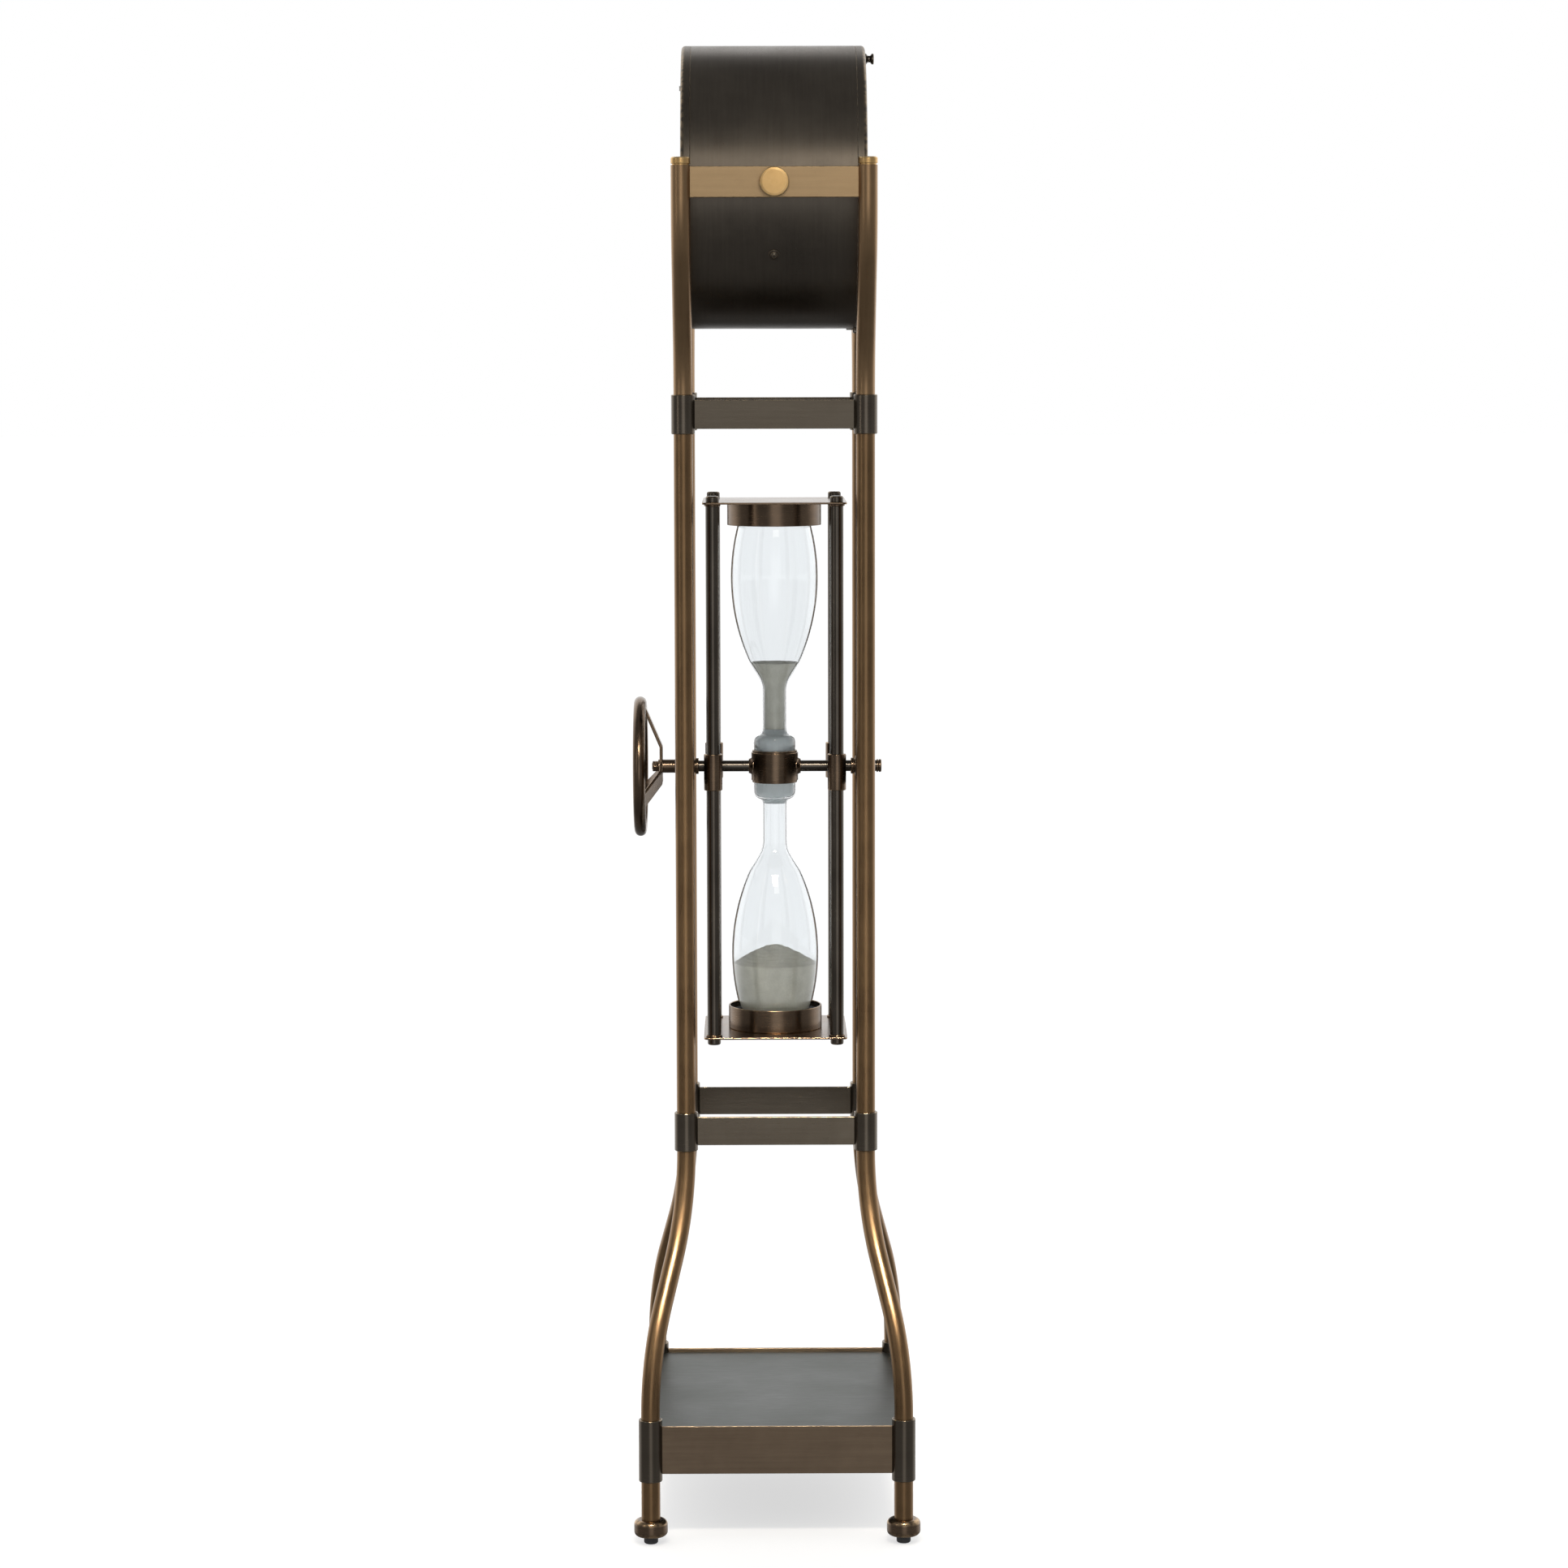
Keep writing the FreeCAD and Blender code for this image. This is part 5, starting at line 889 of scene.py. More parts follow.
    def feet(self) -> None:
        """Foot discs and rubber glides."""
        radius = self.foot.high[0] - self.foot_spot[0]
        low = self.foot.low[2]
        tall = Extent.of("legs_left").low[2] - low
        bore = self.glide_screw + FIT
        plug = self.tube - self.wall - FIT
        disc = turned([(bore, 0), (radius, 0, self.disc_round), (radius, tall, self.disc_round),
                       (plug, tall), (plug, self.foot.size[2]), (bore, self.foot.size[2])], 96, 12)
        show("feet", four(disc, self.foot_spot, low),
             COPPER_BRONZE, "stand", "foot_discs", Brush.ROUND)
        pad, screw = low - FACE_GAP, self.glide_screw
        for end in ENDS:
            for side in SIDES:
                node = f"glide_{end}_{side}"
                box = Extent.of(node)
                wide, top = box.size[0] / 2, box.high[2]
                glide = turned([(0, 0), (wide, 0, 0.0028), (wide, pad, 0.0006), (screw, pad),
                                (screw, top), (0, top)], 64)
                show(f"pad_{end}_{side}", glide.placed((*box.middle[:2], 0)), RUBBER, node, node)

    def caps(self) -> None:
        """Caps of the yoke tubes, above their shadow groove."""
        caps = Extent.of("post_caps")
        yoke = Extent.of("yoke_tubes_left")
        plug = self.tube - self.wall - FIT
        low, top = caps.low[2] - yoke.high[2], caps.high[2] - yoke.high[2]
        cap = turned([(0, low), (plug, low), (plug, self.cap_groove), (self.tube, self.cap_groove, 0.0008),
                      (self.tube, top, 0.0022), (self.tube * 0.45, top - 0.0001), (0, top)], 72)
        reach = caps.high[1] - self.tube
        # The caps are tube brass, painted in the brightened copy: painted highlight.
        show("tube_caps", four(cap, (self.post_spot[0], reach), yoke.high[2]),
             PAINTED_HIGHLIGHT_BRASS, "stand", "post_caps", Brush.ROUND, slot="tube_brass")

    def axle_bars(self) -> None:
        """Bars between the posts that carry the axle, with their bosses and bushes."""
        bars = Extent.of("axle_bars")
        radius, long = self.axle_boss
        bar = prism(bar_plan(self.post_spot[1], self.axle_bar_thick, self.tube + FIT), bars.low[2],
                    bars.high[2], 0.0012)
        hole = self.bush + FIT
        boss = turned([(hole, -long / 2), (radius, -long / 2, 0.001), (radius, long / 2, 0.001),
                       (hole, long / 2)], 64)
        pair = []
        for side in (-1, 1):
            reach = self.post_spot[0] * side
            pair.append(bar.placed((reach, 0, 0), turn=math.pi / 2))
            pair.append(boss.placed((reach, 0, bars.middle[2]), Facing.FRONT))
        show("axle_bearers", joined(pair), DARK_BRONZE, "stand", "axle_bars", Brush.LENGTH)
        bushes = Extent.of("axle_bushes")
        outer, inner = bushes.high[0], self.bush_face
        flange, step, bore = bushes.size[2] / 2, inner + self.bush_flange, AXLE + FIT
        bush = turned([(bore, inner), (flange, inner, 0.0008), (flange, step, 0.0008), (self.bush, step),
                       (self.bush, outer, 0.0005), (bore, outer)], 64)
        spot = (0, 0, bars.middle[2])
        show("bushes", pair_of(bush, spot, Facing.FRONT, Facing.BACK),
             COPPER_BRONZE, "stand", "axle_bushes", Brush.ROUND)


# ------------------------------------------------------------------ drum

@dataclass
class Drum:
    """Drum skin with its rings, cover, door, pivots and screws. Z is drawn along the drum's axis."""

    wall: float = 0.002
    ring_round: float = 0.005
    door_bore: float = 0.150
    back_bore: float = 0.158
    flange_bore: float = 0.166
    flange_thick: float = 0.0025
    back_seat: float = 0.0019
    back_lip: tuple[float, float] = (0.003, 0.0018)
    rebate: float = 0.1563
    rebate_deep: float = 0.00485
    screw_long: float = 0.0195
    pivot: float = 0.006
    pivot_collar: float = 0.010
    bar_face: float = 0.2188
    case_drop: float = 0.0878
    shell: Extent = field(default_factory=lambda: Extent.of("drum_shell"))

    def __post_init__(self) -> None:
        """Works out the drum's middle, its radius and half its length."""
        self.middle = self.shell.middle
        self.half, _, self.radius = self.shell.size / 2

    def build(self) -> None:
        """Builds and dresses the drum."""
        self.skin()
        self.back()
        self.front()
        self.hinge()
        self.pivots()
        self.side_screws()

    def skin(self) -> None:
        """Rolled skin with its two seat flanges."""
        inner, half = self.radius - self.wall, self.half
        dial = Extent.of("dial").low[0] - FIT
        back = -half + self.back_seat
        under, over = dial - self.flange_thick, back + self.flange_thick
        bore = self.flange_bore - self.wall
        corners = [
            (self.radius, -half, 0.0004), (self.radius, half, 0.0004), (inner, half, 0.0003),
            (inner, dial), (self.flange_bore, dial), (self.flange_bore, under), (inner, under),
            (inner, over), (bore, over), (bore, back), (inner, back), (inner, -half, 0.0003),
        ]
        show("drum_skin", turned(corners, 256, 4).placed(self.middle, Facing.FRONT),
             DRUM_BRONZE, "drum", "drum_shell", Brush.ROUND)

    def back(self) -> None:
        """Back ring, pressed cover and the screws, with a black sliver on each head as the painted shade of
        its slot.
        """
        ring = Extent.of("back_ring")
        face, start = -ring.low[0], self.half + FACE_GAP
        lip = self.radius - self.wall - FIT
        thick, long = self.back_lip
        corners = [
            (self.back_bore, start), (lip - thick, start), (lip - thick, start - long),
            (lip, start - long), (lip, start), (self.radius, start, 0.0005),
            (self.radius, face, self.ring_round), (self.back_bore + 0.002, face, 0.0012),
            (self.back_bore, face - 0.003, 0.001),
        ]
        show("back_bezel", turned(corners, 256, 8).placed(self.middle, Facing.BACK),
             DRUM_BRONZE, "drum", "back_ring", Brush.ROUND)
        cover = Extent.of("back_cover")
        radius, thick = cover.size[2] / 2, cover.size[0]
        plate = turned([
            (0, 0), (0.060, 0, 0.02), (0.064, 0.0007, 0.02), (radius, 0.0007), (radius, thick, 0.0004),
            (0.064, thick, 0.02), (0.060, thick - 0.0007, 0.02), (0, thick - 0.0007),
        ], 192, 6)
        show("back_plate", plate.placed((cover.high[0], 0, self.middle[2]), Facing.BACK),
             DRUM_BRONZE, "drum", "back_cover", Brush.ROUND)
        screws = Extent.of("back_screws")
        core, head, dome = 0.0014, 0.0036, 0.0012
        top = -screws.low[0]
        low, under = top - self.screw_long, top - dome - 0.0003
        reach = screws.size[1] / 2 - head
        screw = turned([
            (0, low), (core, low), (core, under), (head, under, 0.0003),
            (head * 0.92, top - dome * 0.4, 0.0012), (head * 0.3, top, 0.002), (0, top),
        ], 48)
        # Each screw's slot is a thin black sliver laid on the dome, not a cut: painted shade.
        long, wide = 0.0031, 0.0004
        slot = box_skin((-long, -wide, top - FACE_GAP), (long, wide, top + 0.00002))
        spots = [(0, reach * i, self.middle[2] + reach * j) for i, j in CORNERS]
        show("cover_screws", joined([screw.placed(spot, Facing.BACK) for spot in spots]),
             STEEL, "drum", "back_screws", Brush.ROUND)
        show("screw_slot_shade", joined([slot.placed(spot, Facing.BACK, 0.4 * k) for k, spot in enumerate(spots)]),
             INK_AND_SLOT_SHADE, "drum")

    def front(self) -> None:
        """Bezel ring of the door, its glass and its spool knob."""
        start, face = self.half + FACE_GAP, Extent.of("door_ring").high[0]
        bore, deep = self.door_bore, start + self.rebate_deep
        corners = [
            (self.rebate, start), (self.radius, start, 0.0005), (self.radius, face, self.ring_round),
            (bore + 0.006, face, 0.0014), (bore + 0.0045, face - 0.0012, 0.0008),
            (bore, face - 0.003, 0.0012), (bore, deep), (self.rebate, deep),
        ]
        show("door_bezel", turned(corners, 256, 8).placed(self.middle, Facing.FRONT),
             DRUM_BRONZE, "door", "door_ring", Brush.ROUND)
        glass = Extent.of("door_glass")
        wide, thick = glass.size[2] / 2, glass.size[0]
        pane = turned([(0, 0), (wide, 0, 0.0004), (wide, thick, 0.0004), (0, thick)], 192)
        show("door_pane", pane.placed((glass.low[0], 0, self.middle[2]), Facing.FRONT),
             CLEAR_GLASS, "door", "door_glass")
        knob = Extent.of("door_knob")
        radius, long = knob.size[2] / 2, knob.high[0] - face
        waist = radius * 0.62
        spool = turned([
            (0, -0.010), (0.002, -0.010), (0.002, FIT), (radius, FIT, 0.0005), (radius, 0.0024, 0.0007),
            (waist, 0.0044, 0.0016), (waist, long - 0.0046, 0.0016), (radius, long - 0.0027, 0.0007),
            (radius, long, 0.0011), (radius * 0.4, long - 0.0004, 0.001), (0, long - 0.0004),
        ], 64)
        show("door_pull", spool.placed((face, 0, knob.middle[2]), Facing.FRONT),
             GUNMETAL, "door", "door_knob", Brush.ROUND)

    def hinge(self) -> None:
        """The hinge under the drum keeps its CAD pieces."""
        for node, finish in (("fixed_leaf", DRUM_BRONZE), ("door_leaf", DRUM_BRONZE), ("pin", STEEL)):
            dress(f"hinge_{node}", finish)

    def pivots(self) -> None:
        """Pivot screws with their spacers, and the two clamping knobs."""
        end, bar = Extent.of("pivot_screws").high[1], self.bar_face
        inside, outside = self.radius - self.wall - 0.0004, self.radius + FIT
        thread, collar, head = self.pivot, self.pivot_collar, 0.009
        stud = turned([
            (0, inside - 0.004), (head, inside - 0.004, 0.001), (head, inside), (thread, inside),
            (thread, outside), (collar, outside, 0.0008), (collar, bar, 0.0008), (thread, bar),
            (thread, end, 0.0005), (0, end),
        ], 64)
        show("pivot_studs", pair_of(stud, self.middle, Facing.LEFT, Facing.RIGHT),
             BRIGHT_BRASS, "drum", "pivot_screws", Brush.ROUND)
        for side, facing in (("left", Facing.LEFT), ("right", Facing.RIGHT)):
            node = f"pivot_knob_{side}"
            box = Extent.of(node)
            radius, bore = box.size[2] / 2, thread + FIT
            start, face = np.sort(np.abs([box.low[1], box.high[1]]))
            under, floor = start + 0.006, face - 0.0038
            knob = turned([
                (bore, start), (head, start, 0.0006), (head, under, 0.0004), (radius, under, 0.001),
                (radius, face - 0.0006, 0.0014), (radius * 0.8, face - 0.0002, 0.004),
                (radius * 0.3, face, 0.004), (0, face), (0, floor), (bore, floor),
            ], 96)
            # The knobs are crossbar brass, painted in the brightened copy: painted highlight.
            show(f"clamp_knob_{side}", knob.placed(self.middle, facing), PAINTED_HIGHLIGHT_BRASS, node, node, Brush.ROUND)

    def side_screws(self) -> None:
        """Domed screws low on the drum's two sides, each in a turned washer."""
        lean = math.asin(self.case_drop / self.radius)
        base, core, head, rise = self.radius + 0.00002, 0.0025, 0.0074, 0.0036
        low, top = base - 0.009, base + rise + 0.0007
        screw = turned([
            (0, low), (core, low), (core, base), (head, base, 0.0003), (head, base + 0.0008, 0.0005),
            (head * 0.74, base + 0.0011, 0.0006), (head * 0.66, base + rise * 0.72, 0.002),
            (head * 0.32, top, 0.0018), (0, top),
        ], 64)
        pair = []
        for facing, slope in ((Facing.LEFT, lean), (Facing.RIGHT, -lean)):
            cosine, sine = math.cos(slope), math.sin(slope)
            tilt = np.array([(1, 0, 0), (0, cosine, sine), (0, -sine, cosine)])
            upright = screw.placed(facing=facing)
            upright.points = upright.points @ tilt + self.middle
            pair.append(upright)
        show("side_screws", joined(pair), DRUM_BRONZE, "drum", "case_screws", Brush.ROUND)


def box_corners(across: float, up: float, radius: float) -> list[tuple]:
    """Corners of a rectangle of half widths, each with its radius."""
    return [(-across, -up, radius), (across, -up, radius), (across, up, radius), (-across, up, radius)]


def box_skin(low: tuple, high: tuple, edge: float = 0.00002) -> Skin:
    """A small block with its rims rounded over."""
    (x0, y0, z0), (x1, y1, z1) = low, high
    return prism(np.array([(x0, y0), (x1, y0), (x1, y1), (x0, y1)]), z0, z1, edge)


# ------------------------------------------------------------------ clock

@dataclass
class Clock:
    """Dial with its printed numerals, hands, movement, battery and setting knob."""

    numeral_ring: float = 0.126
    numeral_tall: float = 0.031
    track: tuple[float, float] = (0.1455, 0.1490)
    arbor_hole: float = 0.00405
    ink: float = 0.00012
    thick: float = 0.0042
    thin: float = 0.0014
    serif: float = 0.0032
    join: float = 0.0006
    numerals: tuple[str, ...] = ("XII", "I", "II", "III", "IIII", "V", "VI", "VII", "VIII", "IX", "X", "XI")
    dial: Extent = field(default_factory=lambda: Extent.of("dial"))

    def build(self) -> None:
        """Builds and dresses the clock."""
        self.face()
        self.print()
        self.hands()
        for node, finish in (("clock_movement", PLASTIC), ("battery", SLEEVE), ("setting_knob", PLASTIC)):
            dress(node, finish)

    def on_dial(self, skin: Skin) -> Skin:
        """Lays a flat skin, drawn with Y up and seen from above, on the dial.

        Its X axis goes to the reader's right, which is the row's +Y.
        """
        return skin.placed((self.dial.high[0], 0, self.dial.middle[2]), Facing.FRONT)

    def face(self) -> None:
        """Enamelled plate with a shallow step inside the minute track."""
        radius, thick = self.dial.size[2] / 2, self.dial.size[0]
        bore, step = self.arbor_hole, -0.0003
        plate = turned([(bore, -thick), (radius, -thick), (radius, 0, 0.0003), (0.100, 0, 0.002),
                        (0.0985, step, 0.002), (bore, step)], 256)
        show("dial_plate", self.on_dial(plate), ENAMEL, "drum", "dial")

    def stroke(self, start: tuple, end: tuple, wide: float) -> Skin:
        """A straight printed stroke with its ends cut level."""
        (x0, y0), (x1, y1) = start, end
        half = wide / 2 * math.hypot(x1 - x0, y1 - y0) / abs(y1 - y0)
        outline = np.array([(x0 - half, y0), (x0 + half, y0), (x1 + half, y1), (x1 - half, y1)])
        return prism(outline, 0, self.ink, self.ink / 4, steps=2)

    def numeral(self, text: str) -> Skin:
        """One numeral, its feet to the dial's middle, from thick and thin strokes and two rules."""
        half = self.numeral_tall / 2
        wide = {"I": 0.0072, "V": 0.0165, "X": 0.0165}
        total = sum(wide[letter] for letter in text)
        strokes, x = [], -total / 2
        for letter in text:
            middle, reach = x + wide[letter] / 2, wide[letter] / 2 - self.serif
            lines = {
                "I": [(0, 0, self.thick)],
                "V": [(self.join, -reach, self.thick), (0, reach, self.thin)],
                "X": [(reach, -reach, self.thick), (-reach, reach, self.thin)],
            }
            strokes += [self.stroke((middle + low, -half), (middle + high, half), line)
                        for low, high, line in lines[letter]]
            x += wide[letter]
        rule = self.thin / 2
        strokes += [box_skin((-total / 2, y, 0), (total / 2, y + rule, self.ink), self.ink / 4)
                    for y in (-half, half - rule)]
        return joined(strokes)

    def print(self) -> None:
        """Numerals, minute track and centre rings."""
        marks = []
        for hour, text in enumerate(self.numerals):
            sign = self.numeral(text)
            sign.points = sign.points + np.array([0, self.numeral_ring, 0])
            marks.append(sign.placed(turn=-hour * math.pi / 6))
        inner, outer = self.track
        for minute in range(60):
            wide = 0.0011 if minute % 5 == 0 else 0.0005
            tick = box_skin((-wide, inner, 0), (wide, outer, self.ink), self.ink / 4)
            marks.append(tick.placed(turn=-minute * math.pi / 30))
        for radius, wide in ((inner, 0.0004), (outer, 0.0004), (0.1045, 0.0005), (0.1025, 0.0002)):
            marks.append(turned([(radius - wide, 0), (radius + wide, 0), (radius + wide, self.ink),
                                 (radius - wide, self.ink)], 192))
        show("dial_print", self.on_dial(joined(marks)), INK_AND_SLOT_SHADE, "drum")

    def hands(self) -> None:
        """Leaf hands with a ridge down the middle, on round hubs.

        A hand's half width is its widest times the sine of its travel to the power 0.8, and its
        ridge stands above its edges in the same proportion.
        """
        for name, long, hub, angle, bore in (("hour_hand", 0.082, 0.0065, 304.0, 0.0015),
                                             ("minute_hand", 0.122, 0.0055, 50.0, 0.0)):
            box = Extent.of(name)
            thick, edge = 0.001, 0.55
            share = np.linspace(0.0, 1.0, 60)
            travel = hub * 0.6 + (long - hub * 0.6) * share
            half = np.maximum(0.0045 * np.sin(math.pi * np.clip(share * 0.97 + 0.015, 0, 1)) ** 1.1, 0.0007)
            half *= 1 - 0.9 * np.clip((share - 0.985) / 0.015, 0, 1)
            ridge = 0.45 * half / half.max()
            zero = np.zeros_like(half)
            level = [(-half, zero), (zero, zero), (half, zero), (half, thick * (edge + zero)),
                     (zero, thick * (edge + ridge)), (-half, thick * (edge + zero))]
            rows = np.stack([np.stack([across, travel, up], axis=1) for across, up in level], axis=1)
            blade = Skin.grid(rows, np.zeros(len(rows)), caps=True)
            tail = turned([(0, 0), (0.0032, 0), (0.0032, thick * 0.9, 0.0002), (0, thick * 0.9)], 48)
            tail.points = tail.points + np.array([0, -hub * 2.4, 0])
            neck = box_skin((-0.0012, -hub * 2.4, 0), (0.0012, hub * 0.7, thick * 0.8), 0.0002)
            ring = turned([(bore, 0), (hub, 0, 0.0001), (hub, thick, 0.0004), (bore, thick)], 64)
            hand = joined([blade, tail, neck, ring])
            arbor = turned([(bore, -0.0132), (bore + 0.0011, -0.0132), (bore + 0.0011, 0), (bore, 0)], 32)
            hand = joined([hand, arbor]).placed(turn=-math.radians(angle))
            show(f"{name}_blade", hand.placed((box.high[0] - thick, 0, self.dial.middle[2]), Facing.FRONT),
                 INK_AND_SLOT_SHADE, name, name, slot="hand_black")


# ------------------------------------------------------------------ hourglass

@dataclass
class Hourglass:
    """Bulbs, sand, frame, cups and axle, drawn about the middle of the axle."""

    wall: float = 0.002
    sand_gap: float = 0.0003
    rod: float = 0.0087
    rod_collar: float = 0.0118
    plate_thick: float = 0.0025
    washer: tuple[float, float] = (0.0104, 0.0022)
    thread: float = 0.004
    nut: float = 0.0085
    bulb_top: float = 0.331
    axle_step: float = 0.149
    sand_top: float = 0.1345
    sand_edge: float = 0.256
    sand_peak: float = 0.232
    stopper_top: float = 0.048

    def __post_init__(self) -> None:
        """Works out the axle's middle, the rods' places and the bulb's two walls."""
        self.middle = np.array([0.0, 0.0, Extent.of("hub_ring").middle[2]])
        self.rods = Extent.of("rods")
        self.rod_half = self.rods.high[0] - self.rod
        self.outer = self.bulb_line()
        self.inner = inset(self.outer, self.wall)
        self.ends = (Facing.UP, Facing.DOWN)

    def bulb_line(self) -> Array:
        """The bulb's side as (radius, height), from its foot to the middle of its closed end.

        Straight foot, rounded shoulder, neck, flare, cone, one long curve and a rounded end,
        with the joins between them melted.
        """
        foot, shoulder = 0.0275, 0.0097
        line = np.concatenate([
            np.array([(foot, 0.0016), (foot, 0.033)]),
            arc((foot, 0.033), (foot - shoulder, 0.033 + shoulder), shoulder, -1),
            np.array([(0.0158, 0.048), (0.0158, 0.098)]),
            arc((0.0158, 0.098), (0.020, 0.114), 0.032, 1),
            arc((0.033, 0.135), (0.0486, 0.308), 0.270, -1, 60),
            arc((0.0486, 0.308), (0.026, self.bulb_top), 0.026, -1),
            np.array([(0.0, self.bulb_top)]),
        ])
        soft = softened(line, 0.0022)
        soft[-1, 0] = 0.0
        soft[:, 0] = np.maximum(soft[:, 0], 0.0)
        soft[:, 1] = np.minimum(soft[:, 1], self.bulb_top)
        return soft

    def side_of(self, height: Array) -> Array:
        """What fills the bulb at its inner wall, as (radius, height)."""
        top = int(np.argmax(self.inner[:, 1]))
        radius = np.interp(height, self.inner[:top, 1], self.inner[:top, 0])
        return np.stack([radius - self.sand_gap, height], axis=1)

    def both(self, skin: Skin) -> Skin:
        """The skin above the axle, and again below it."""
        return pair_of(skin, self.middle, *self.ends)

    def corners(self, skin: Skin, facings: tuple[Facing, ...] = (Facing.UP,)) -> Skin:
        """The skin on each of the four rods, at one end or at both."""
        return joined([
            skin.placed(self.middle + np.array([self.rod_half * i, self.rod_half * j, 0]), facing)
            for i, j in CORNERS for facing in facings
        ])

    def build(self) -> None:
        """Builds and dresses the hourglass."""
        self.bulbs()
        self.sand()
        self.stoppers()
        self.hub()
        self.frame()
        self.cups()
        self.axle()

    def bulbs(self) -> None:
        """Two blown bulbs with their real wall."""
        start = self.outer[0, 1]
        floor = self.inner[:, 1] > start + self.wall
        inner = self.inner[floor][::-2]
        inner[0, 0] = 0.0
        line = np.concatenate([np.array([(0.004, start)]), self.outer[:-1:2], self.outer[-1:], inner,
                               np.array([(0.004, start + self.wall)])])
        line[:, 0] = np.maximum(line[:, 0], 0.0)
        bulb = turned(line, 160)
        for name, facing in (("upper", Facing.UP), ("lower", Facing.DOWN)):
            show(f"glass_{name}", bulb.placed(self.middle, facing),
                 CLEAR_GLASS, "hourglass", f"bulb_{name}", crease=60)

    def sand(self) -> None:
        """Sand in the neck of the upper bulb, and its heap in the lower one.

        The heap's height falls from its peak to the glass as one less the share of the radius
        to the power 1.25, with low waves that turn with the angle.
        """
        height = np.linspace(self.stopper_top + self.sand_gap, self.sand_top, 90)
        side = self.side_of(height)
        share = np.linspace(1, 0, 24)[1:]
        top = np.stack([side[-1, 0] * share, self.sand_top - 0.0016 * (1 - share ** 2)], axis=1)
        line = np.concatenate([np.array([(0, height[0])]), side, top])
        column = turned(line, 96)
        rough = np.sin(column.points[:, 0] * 310) * np.sin(column.points[:, 1] * 270 + 1) * 0.0002
        column.points[:, 2] += rough * (column.points[:, 2] > self.sand_top - 0.004)
        show("sand_column", column.placed(self.middle), SAND, "hourglass", "sand_upper")
        last = self.bulb_top - self.wall - self.sand_gap
        height = np.linspace(self.sand_edge, last, 90)[:-1]
        side = self.side_of(height)
        share = np.linspace(0, 1, 60)[:-1]
        fall = (self.sand_edge - self.sand_peak) * share ** 1.25
        heap = np.stack([side[0, 0] * share, self.sand_peak + 0.0012 + fall], axis=1)
        line = softened(np.concatenate([heap, side]), 0.0012)
        line[0, 0] = 0.0
        pile = turned(np.concatenate([line, np.array([(0, line[-1, 1])])]), 128)
        radius = np.hypot(pile.points[:, 0], pile.points[:, 1])
        angle = np.arctan2(pile.points[:, 1], pile.points[:, 0])
        wave = 0.0009 * np.sin(3 * angle + 0.7) + 0.0005 * np.sin(7 * angle + radius * 400)
        deep = self.sand_edge - 0.001 - pile.points[:, 2]
        reach = np.clip(radius / 0.012, 0, 1) * np.clip(deep / 0.004, 0, 1)
        pile.points[:, 2] += wave * reach + 0.0004 * reach * np.sin(radius * 900)
        show("sand_heap", pile.placed(self.middle, Facing.DOWN), SAND, "hourglass", "sand_lower")

    def stoppers(self) -> None:
        """Frosted plugs in the bulbs' feet."""
        low = self.outer[0, 1] + self.wall + self.sand_gap
        height = np.linspace(low, self.stopper_top, 60)
        side = self.side_of(height)
        hole = 0.0025
        line = np.concatenate([np.array([(hole, low)]), side, np.array([(hole, self.stopper_top)])])
        show("ground_stoppers", self.both(turned(line, 96)), FROSTED_GLASS, "hourglass", "stoppers")
        dress("orifice_disc", STEEL)

    def hub(self) -> None:
        """Turned ring between the bulbs, with a flared socket for each half of the axle."""
        box = Extent.of("hub_ring")
        half, radius = box.size[2] / 2, box.size[1] / 2
        lip, step, bore = radius - 0.0012, half - 0.0028, 0.0277
        ring = turned([
            (bore, -half), (lip, -half, 0.0006), (lip, -step - 0.0003, 0.0002), (radius, -step, 0.0006),
            (radius, step, 0.0006), (lip, step + 0.0003, 0.0002), (lip, half, 0.0006), (bore, half),
        ], 128)
        end, root, hole, wide, slim = box.high[0], radius - 0.003, AXLE + FIT, 0.0138, 0.0094
        flare = arc((wide, radius - 0.0022), (slim, end - 0.0006), 0.0075, 1, 16)
        line = np.concatenate([np.array([(hole, root), (wide, root)]), flare,
                               np.array([(slim, end), (hole, end)])])
        sockets = pair_of(turned(line, 64), self.middle, Facing.FRONT, Facing.BACK)
        show("hub_clamp", joined([ring.placed(self.middle), sockets]),
             COPPER_BRONZE, "hourglass", "hub_ring", Brush.ROUND)

    def frame(self) -> None:
        """Rods, their collars and crossbars, washers, nuts and end plates."""
        plates = Extent.of("end_plates")
        inner = plates.high[2] - self.middle[2] - self.plate_thick
        shoulder = inner - self.washer[1] - 2 * FIT
        end, core = self.rods.size[2] / 2, self.thread
        rod = turned([
            (0, -end), (core, -end, 0.0004), (core, -shoulder), (self.rod, -shoulder, 0.0006),
            (self.rod, shoulder, 0.0006), (core, shoulder), (core, end, 0.0004), (0, end),
        ], 64)
        show("frame_rods", self.corners(rod), GUNMETAL, "hourglass", "rods", Brush.ALONG)
        half, bore, wide = Extent.of("rod_collars").size[2] / 2, self.rod + FIT, self.rod_collar
        sleeve = turned([(bore, -half), (wide, -half, 0.0012), (wide, half, 0.0012), (bore, half)], 64)
        show("rod_sleeves", self.corners(sleeve), COPPER_BRONZE, "hourglass", "rod_collars", Brush.ROUND)
        wide, bore, low, top = self.washer[0], core + FIT, shoulder + FIT, inner - FIT
        washer = turned([(bore, low), (wide, low, 0.0006), (wide, top, 0.0006), (bore, top)], 64)
        show("washers", self.corners(washer, self.ends),
             COPPER_BRONZE, "hourglass", "rod_washers", Brush.ROUND)
        low = inner + self.plate_thick + FIT
        top, well = Extent.of("rod_nuts").high[2] - self.middle[2], end + FACE_GAP
        nut = turned([(bore, low), (self.nut, low, 0.0006), (self.nut, top, 0.0026),
                      (0.0030, top - 0.0001), (0, top), (0, well), (bore, well)], 64, 10)
